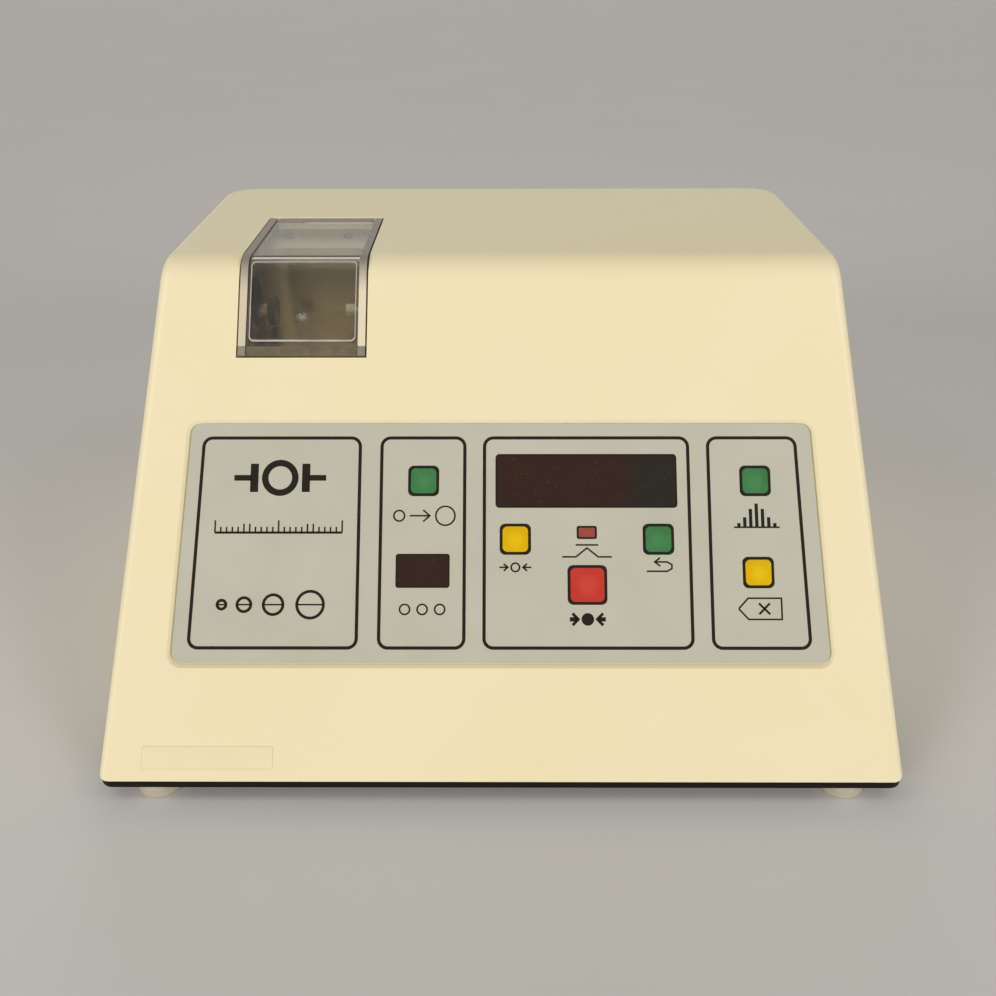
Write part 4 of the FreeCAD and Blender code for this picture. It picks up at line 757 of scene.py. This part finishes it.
def clear_label():
    x, up, width, height = LABEL
    corners = rectangle(x, up, width, height)
    levels = ((0, -LABEL_SUNK), (0, LABEL_THICKNESS * LABEL_SIDE_SHARE),
              (LABEL_EDGE_WIDTH, LABEL_THICKNESS))
    rings = []
    for amount, out in levels:
        outline = rounded(inset(corners, amount), LABEL_CORNER)
        rings.append([on_slope(px, py, out) for px, py in outline])
    bm = bmesh.new()
    loft(bm, rings, (1, 1, 0))
    piece("clear_label", bm, [LABEL_FILM, LABEL_EDGE], "tester", "cream_moulding", sharp_angle=20)


clear_label()

# Lid: the bright line that runs round its clear window and over the start of the bend, a painted highlight
LID_X = -106.0
LID_PANE_OUT = -0.4
LID_WINDOW = (LID_X, 250.85, 57.1, 45.9)
LID_WINDOW_CORNER = 2.8
LID_LINE = 0.62
# The line is wider by this much along the window's top and bottom
LID_LINE_EXTRA = 0.6
# The line's section: how far in from the window's edge, and how far out of the pane
LID_LINE_SECTION = ((0.0, -0.4), (-0.05, 0.04), (LID_LINE * 0.3, 0.16),
                    (LID_LINE * 0.8, 0.12), (LID_LINE, -0.4))
# A side longer than this is cut into steps, so that it follows the bend
LONG_SIDE = 5.0
LONG_SIDE_STEPS = 24


def with_steps(outline):
    """The outline with its long sides cut into steps."""
    points = []
    for index, here in enumerate(outline):
        after = outline[(index + 1) % len(outline)]
        steps = LONG_SIDE_STEPS if math.dist(here, after) > LONG_SIDE else 1
        points += [(here[0] + (after[0] - here[0]) * step / steps,
                    here[1] + (after[1] - here[1]) * step / steps) for step in range(steps)]
    return points


def lid_window_edge():
    x, up, width, height = LID_WINDOW
    corners = rectangle(x, up, width, height)
    rings = []
    for amount, out in LID_LINE_SECTION:
        extra = max(amount, 0) / LID_LINE * LID_LINE_EXTRA
        sides = [(px, py + (extra if py < up else -extra)) for px, py in inset(corners, amount)]
        outline = with_steps(rounded(sides, LID_WINDOW_CORNER - amount))
        rings.append([on_lid(px, py, LID_PANE_OUT + out) for px, py in outline])
    bm = bmesh.new()
    loft(bm, rings, closed=True)
    piece("lid_window_edge", bm, [PAINTED_EDGE_HIGHLIGHT], "lid", "clear_acrylic", sharp_angle=60)


lid_window_edge()

# Hinge: nylon washers on the pin between the bar and the lid's sides, and a cream edging on the bar
HINGE_PIN = (76.15, 223.15)
WASHERS = (-135.35, -76.85)
WASHER_INNER = 1.9
WASHER_RADIUS = 2.65
WASHER_HALF = 0.6
WASHER_EDGE = 0.15
BAR_ENDS = (-134.4, -77.8)
BAR_FRONT = 71.1
EDGING_TOP = 223.0
# The edging's section: forward of the bar's front, and down from the edging's top
EDGING_SECTION = ((0.0, 0.0), (0.25, 0.1), (0.3, 2.1), (0.7, 2.4), (0.75, 3.1), (0.5, 3.5), (0.0, 3.6))


def round_pin(middle):
    """Places points about the hinge pin, with heights along it from a middle."""
    def place(y, z, along):
        return upright(middle + along, HINGE_PIN[0] + y, HINGE_PIN[1] + z)
    return place


def hinge_trim():
    half = [(WASHER_RADIUS, WASHER_HALF - WASHER_EDGE), (WASHER_RADIUS - WASHER_EDGE, WASHER_HALF),
            (WASHER_INNER, WASHER_HALF)]
    profile = [(radius, -along) for radius, along in reversed(half)] + half
    bm = bmesh.new()
    for middle in WASHERS:
        turned(bm, profile, 0, 0, round_pin(middle), steps=28)
    piece("hinge_washers", bm, [NYLON], "tester", "white_nylon")
    bm = bmesh.new()
    loft(bm, [[upright(x, BAR_FRONT - forward, EDGING_TOP - down) for forward, down in EDGING_SECTION]
              for x in BAR_ENDS])
    piece("hinge_bar_edging", bm, [ENAMEL], "tester", "cream_moulding")


hinge_trim()

# Chamber floor screw: a round steel head with a cross recess, over its shank
FLOOR_SCREW = (-118.1, 32.5)
FLOOR_TOP = 178.0
SHANK_RADIUS = 2.0
SHANK_END = 171.0
SCREW_DOME = 4.1
SCREW_LIFT = 0.1
SCREW_FOOT_SHARE = 0.97
DOME_LEANS = (15, 30, 45, 60, 72, 82)
# The recess is drawn as two strokes of painted shade over the dome
RECESS_TURN = 20
RECESS_REACH = 2.64
RECESS_STEPS = 4
RECESS_WIDTH = 0.9
RECESS_LOW = -0.1
RECESS_HIGH = 0.03


def floor_screw():
    x, y = FLOOR_SCREW
    middle = FLOOR_TOP + SCREW_LIFT
    profile = [(SHANK_RADIUS, SHANK_END), (SHANK_RADIUS, FLOOR_TOP),
               (SCREW_DOME * SCREW_FOOT_SHARE, FLOOR_TOP), (SCREW_DOME, middle)]
    for lean in DOME_LEANS:
        across = towards(lean) * SCREW_DOME
        profile.append((across.x, middle + across.y))
    bm = bmesh.new()
    turned(bm, profile, x, y, upright)
    piece("chamber_screw_head", bm, [ZINC_BRIGHT], "tester", "zinc_plated_steel", sharp_angle=50,
          replaces=["chamber_floor_screw"])

    def on_dome(px, py, height):
        reach = SCREW_DOME + height
        return upright(px, py, middle + math.sqrt(max(reach ** 2 - (px - x) ** 2 - (py - y) ** 2, 0)))

    bm = bmesh.new()
    for turn in (RECESS_TURN, RECESS_TURN + 90):
        run = towards(turn) * RECESS_REACH / RECESS_STEPS
        points = [(x + run.x * step, y + run.y * step) for step in range(-RECESS_STEPS, RECESS_STEPS + 1)]
        stroke(bm, points, RECESS_WIDTH, RECESS_LOW, RECESS_HIGH, on_dome)
    piece("chamber_screw_recess_shade", bm, [BLACK_OXIDE_AND_RECESS_SHADE], "tester", "zinc_plated_steel")


floor_screw()

# Rear panel: its screws, as radius and height over the panel, and their cross recesses
PANEL_OUT = -1.5
REAR_ROW = 32.0
PANEL_SCREWS = ((-19.0, 55.5), (159.0, 55.5), (-19.0, 7.0), (159.0, 7.0))
PANEL_SCREW_HEAD = ((1.5, -1.0), (2.9, 0.0), (3.0, 0.5), (2.7, 1.1), (1.9, 1.4), (0.6, 1.5))
PANEL_RECESS_TURN = 35
PANEL_RECESS_STEP = 20
PANEL_RECESS_REACH = 1.7
PANEL_RECESS_WIDTH = 0.6
PANEL_RECESS_LOW = 1.3
PANEL_RECESS_HIGH = 1.53


def rear_screws():
    head = [(radius, PANEL_OUT + height) for radius, height in PANEL_SCREW_HEAD]
    bm = bmesh.new()
    for x, up in PANEL_SCREWS:
        turned(bm, head, x, up, on_rear)
    piece("rear_panel_screws", bm, [ZINC], "tester", "zinc_plated_steel")
    # The cross recesses are strokes of painted shade over the heads
    bm = bmesh.new()
    for index, (x, up) in enumerate(PANEL_SCREWS):
        first = PANEL_RECESS_TURN + PANEL_RECESS_STEP * index
        for turn in (first, first + 90):
            run = towards(turn) * PANEL_RECESS_REACH
            stroke(bm, [(x - run.x, up - run.y), (x + run.x, up + run.y)], PANEL_RECESS_WIDTH,
                   PANEL_OUT + PANEL_RECESS_LOW, PANEL_OUT + PANEL_RECESS_HIGH, on_rear)
    piece("rear_screw_recess_shade", bm, [BLACK_OXIDE_AND_RECESS_SHADE], "tester", "zinc_plated_steel")


# Printer port: the insert behind its shell, 25 contacts in two rows, and the nuts at its ends
PORT_X = 125.0
PORT_FACE = -0.4
INSERT_HALF_TOP = 18.6
INSERT_HALF_BOTTOM = 17.2
INSERT_RISE = 3.3
INSERT_CORNER = 1.0
INSERT_SUNK = 0.05
INSERT_HEIGHT = 1.6
CONTACT_PITCH = 2.77
CONTACT_ROWS = 2.84
CONTACT_RADIUS = 0.75
CONTACT_BORE = 0.45
CONTACT_HEIGHTS = (1.55, 1.66)
PORT_NUTS = 23.5
NUT_RADIUS = 3.1
NUT_CHAMFER = 0.3
NUT_SIDE = 0.2
NUT_TOP = 0.5
NUT_HOLE = 1.25
NUT_HOLE_HEIGHTS = (0.48, 0.53)


def port_details():
    outline = [(PORT_X - INSERT_HALF_TOP, REAR_ROW + INSERT_RISE),
               (PORT_X - INSERT_HALF_BOTTOM, REAR_ROW - INSERT_RISE),
               (PORT_X + INSERT_HALF_BOTTOM, REAR_ROW - INSERT_RISE),
               (PORT_X + INSERT_HALF_TOP, REAR_ROW + INSERT_RISE)]
    bm = bmesh.new()
    slab(bm, rounded(outline, INSERT_CORNER), PORT_FACE - INSERT_SUNK, PORT_FACE + INSERT_HEIGHT, on_rear)
    piece("port_insert", bm, [BLACK_PLASTIC], "tester", "black_plastic")
    low, high = (PORT_FACE + height for height in CONTACT_HEIGHTS)
    bm = bmesh.new()
    for count, row in ((13, CONTACT_ROWS / 2), (12, -CONTACT_ROWS / 2)):
        for step in range(count):
            x = PORT_X + (step - (count - 1) / 2) * CONTACT_PITCH
            rims = [circle(x, REAR_ROW + row, radius, 16) for radius in (CONTACT_RADIUS, CONTACT_BORE)]
            border(bm, *rims, low, high, on_rear)
    piece("port_contacts", bm, [GOLD_PIN], "tester", "connector_steel")
    bm = bmesh.new()
    for side in SIDES:
        hexagon = circle(PORT_X + side * PORT_NUTS, REAR_ROW, NUT_RADIUS, 6)
        levels = ((0, PANEL_OUT), (0, NUT_SIDE), (NUT_CHAMFER, NUT_TOP))
        loft(bm, [[on_rear(px, py, out) for px, py in inset(hexagon, amount)] for amount, out in levels])
    piece("port_jack_nuts", bm, [CONNECTOR], "tester", "connector_steel")
    # The nuts' holes are dark discs of painted shade
    bm = bmesh.new()
    for side in SIDES:
        slab(bm, circle(PORT_X + side * PORT_NUTS, REAR_ROW, NUT_HOLE, 20), *NUT_HOLE_HEIGHTS, on_rear)
    piece("port_nut_hole_shade", bm, [BLACK_OXIDE_AND_RECESS_SHADE], "tester", "connector_steel")


# Power switch: the rocker's face is a shallow vee, and the whole rocker is tilted about its pivot
SWITCH_X = 66.0
ROCKER_PIVOT_OUT = -3.7
ROCKER_RISE = 3.7
ROCKER_TILT = math.radians(9.0)
ROCKER_VEE = math.radians(4.813)
ROCKER_HALF_MIDDLE = 5.1725
ROCKER_MARK_HALF = 0.05
ROCKER_RING = (2.3, 1.7)
ROCKER_STROKE_HALF = 2.4
ROCKER_STROKE_WIDTH = 0.7
# Fuse sign: place, size of its outline and line, length and width of its wire
FUSE_SIGN = (8.0, 54.6)
FUSE_SIGN_SIZE = (7.0, 2.6)
FUSE_SIGN_LINE = 0.4
FUSE_WIRE_HALF = 5.5
FUSE_WIRE_WIDTH = 0.45
FUSE_SIGN_LOW = -0.02
FUSE_SIGN_HIGH = 0.04


def on_rocker(side):
    """Places points about the middle of a half of the rocker's face: 1 is the half that stands out."""
    lean = ROCKER_TILT + side * ROCKER_VEE
    along, out_of = math.cos(ROCKER_TILT), math.sin(ROCKER_TILT)
    middle_x = SWITCH_X + side * ROCKER_HALF_MIDDLE * along - ROCKER_RISE * out_of
    middle_out = ROCKER_PIVOT_OUT + side * ROCKER_HALF_MIDDLE * out_of + ROCKER_RISE * along

    def place(x, up, out=0.0):
        return on_rear(middle_x - x * math.cos(lean) - out * math.sin(lean), REAR_ROW + up,
                       middle_out - x * math.sin(lean) + out * math.cos(lean))
    return place


def rear_marks():
    """A ring and a stroke on the rocker for off and on, and the sign for a fuse over its drawer."""
    bm = bmesh.new()
    outer, inner = ROCKER_RING
    border(bm, circle(0, 0, outer), circle(0, 0, inner), -ROCKER_MARK_HALF, ROCKER_MARK_HALF, on_rocker(1))
    stroke(bm, [(0, -ROCKER_STROKE_HALF), (0, ROCKER_STROKE_HALF)], ROCKER_STROKE_WIDTH,
           -ROCKER_MARK_HALF, ROCKER_MARK_HALF, on_rocker(-1))
    piece("rocker_marks", bm, [WHITE_PRINT], "rocker", "black_plastic")
    x, up = FUSE_SIGN
    width, height = FUSE_SIGN_SIZE
    low, high = PANEL_OUT + FUSE_SIGN_LOW, PANEL_OUT + FUSE_SIGN_HIGH
    body = rectangle(x, up, width, height)
    bm = bmesh.new()
    border(bm, body, inset(body, FUSE_SIGN_LINE), low, high, on_rear)
    stroke(bm, [(x - FUSE_WIRE_HALF, up), (x + FUSE_WIRE_HALF, up)], FUSE_WIRE_WIDTH, low, high, on_rear)
    piece("fuse_sign", bm, [WHITE_PRINT], "tester", "black_painted_steel")


rear_screws()
port_details()
rear_marks()

# Studio: a pale floor, soft light from both sides and the rear, and the camera
FLOOR_REACH = 9000.0
FLOOR_THICKNESS = 2.0
BROAD_LIGHTS = {
    # Power, place, aim and apparent width
    "left_wall": (1.56, (-1000, -1000, 432), (0, 0, 100), 22),
    "right_wall": (1.38, (1000, -1000, 432), (0, 0, 100), 22),
    "rear_wall": (1.15, (-150, 1000, 95), (0, 0, 0), 40),
}
STRIP_LIGHTS = {
    # Place and aim
    "left_strip": ((-1100, -300, 700), (-150, 0, 120)),
    "right_strip": ((1100, -300, 700), (150, 0, 120)),
}
STRIP_POWER = 3.0
STRIP_SIZE = (0.3, 1.6)
CAMERA_PLACE = (1.5, -534.8, 387.9)
CAMERA_TURN = math.radians(0.341)
CAMERA_DOWN = math.radians(30.442)
CAMERA_ROLL = math.radians(-0.175)


def studio_floor():
    bm = bmesh.new()
    slab(bm, rectangle(0, 0, FLOOR_REACH * 2, FLOOR_REACH * 2), -FLOOR_THICKNESS, 0.0, upright)
    floor = mesh_object("floor", bm, [finish("pale matt floor", "#D9D7D2", "#D7D5D0", 300, (0.74, 0.76))])


def studio_world():
    """Even light, paler where it is seen straight, through the lid or mirrored."""
    world = bpy.data.worlds.new("studio")
    bpy.context.scene.world = world
    world.use_nodes = True
    tree = world.node_tree
    rays = add(tree, "LightPath")
    seen = add(tree, "Math", {"operation": "MAXIMUM"},
               {0: rays.outputs["Is Camera Ray"], 1: rays.outputs["Is Transmission Ray"]})
    mirrored = add(tree, "Math", {"operation": "MAXIMUM"},
                   {0: seen.outputs[0], 1: rays.outputs["Is Glossy Ray"]})
    shade = add(tree, "Mix", COLOURS,
                {"Factor": mirrored.outputs[0], "A": colour("#8F8D8A"), "B": colour("#CFCBC1")})
    tree.links.new(shade.outputs["Result"], tree.nodes["Background"].inputs["Color"])


def lamp(name, kind, energy, place, aim, **settings):
    """A light at a place in millimetres, turned towards an aim."""
    light = bpy.data.lights.new(name, kind)
    light.energy = energy
    for key, value in settings.items():
        setattr(light, key, value)
    made = bpy.data.objects.new(name, light)
    bpy.context.scene.collection.objects.link(made)
    made.location = upright(*place)
    direction = upright(*aim) - made.location
    made.rotation_euler = direction.to_track_quat("-Z", "Y").to_euler()
    return made


def studio_lights():
    for name, (energy, place, aim, width) in BROAD_LIGHTS.items():
        wall = lamp(name, "SUN", energy, place, aim, angle=math.radians(width))
        # No mirror image of the broad lights on the top, and no patch of them through the lid
        wall.visible_glossy = False
        wall.visible_transmission = False
    for name, (place, aim) in STRIP_LIGHTS.items():
        lamp(name, "AREA", STRIP_POWER, place, aim, shape="RECTANGLE", size=STRIP_SIZE[0],
             size_y=STRIP_SIZE[1])


def studio_camera():
    camera = bpy.data.cameras.new("camera")
    camera.lens = 36.14
    camera.sensor_width = 36.0
    camera.clip_end = 50.0
    made = bpy.data.objects.new("camera", camera)
    bpy.context.scene.collection.objects.link(made)
    made.location = upright(*CAMERA_PLACE)
    turned_by = Matrix.Rotation(CAMERA_TURN, 3, "Z")
    tilted_by = Matrix.Rotation(math.pi / 2 - CAMERA_DOWN, 3, "X")
    rolled_by = Matrix.Rotation(CAMERA_ROLL, 3, "Z")
    made.rotation_euler = (turned_by @ tilted_by @ rolled_by).to_euler()
    bpy.context.scene.camera = made
    bpy.context.scene.view_settings.view_transform = "Standard"


studio_floor()
studio_world()
studio_lights()
studio_camera()
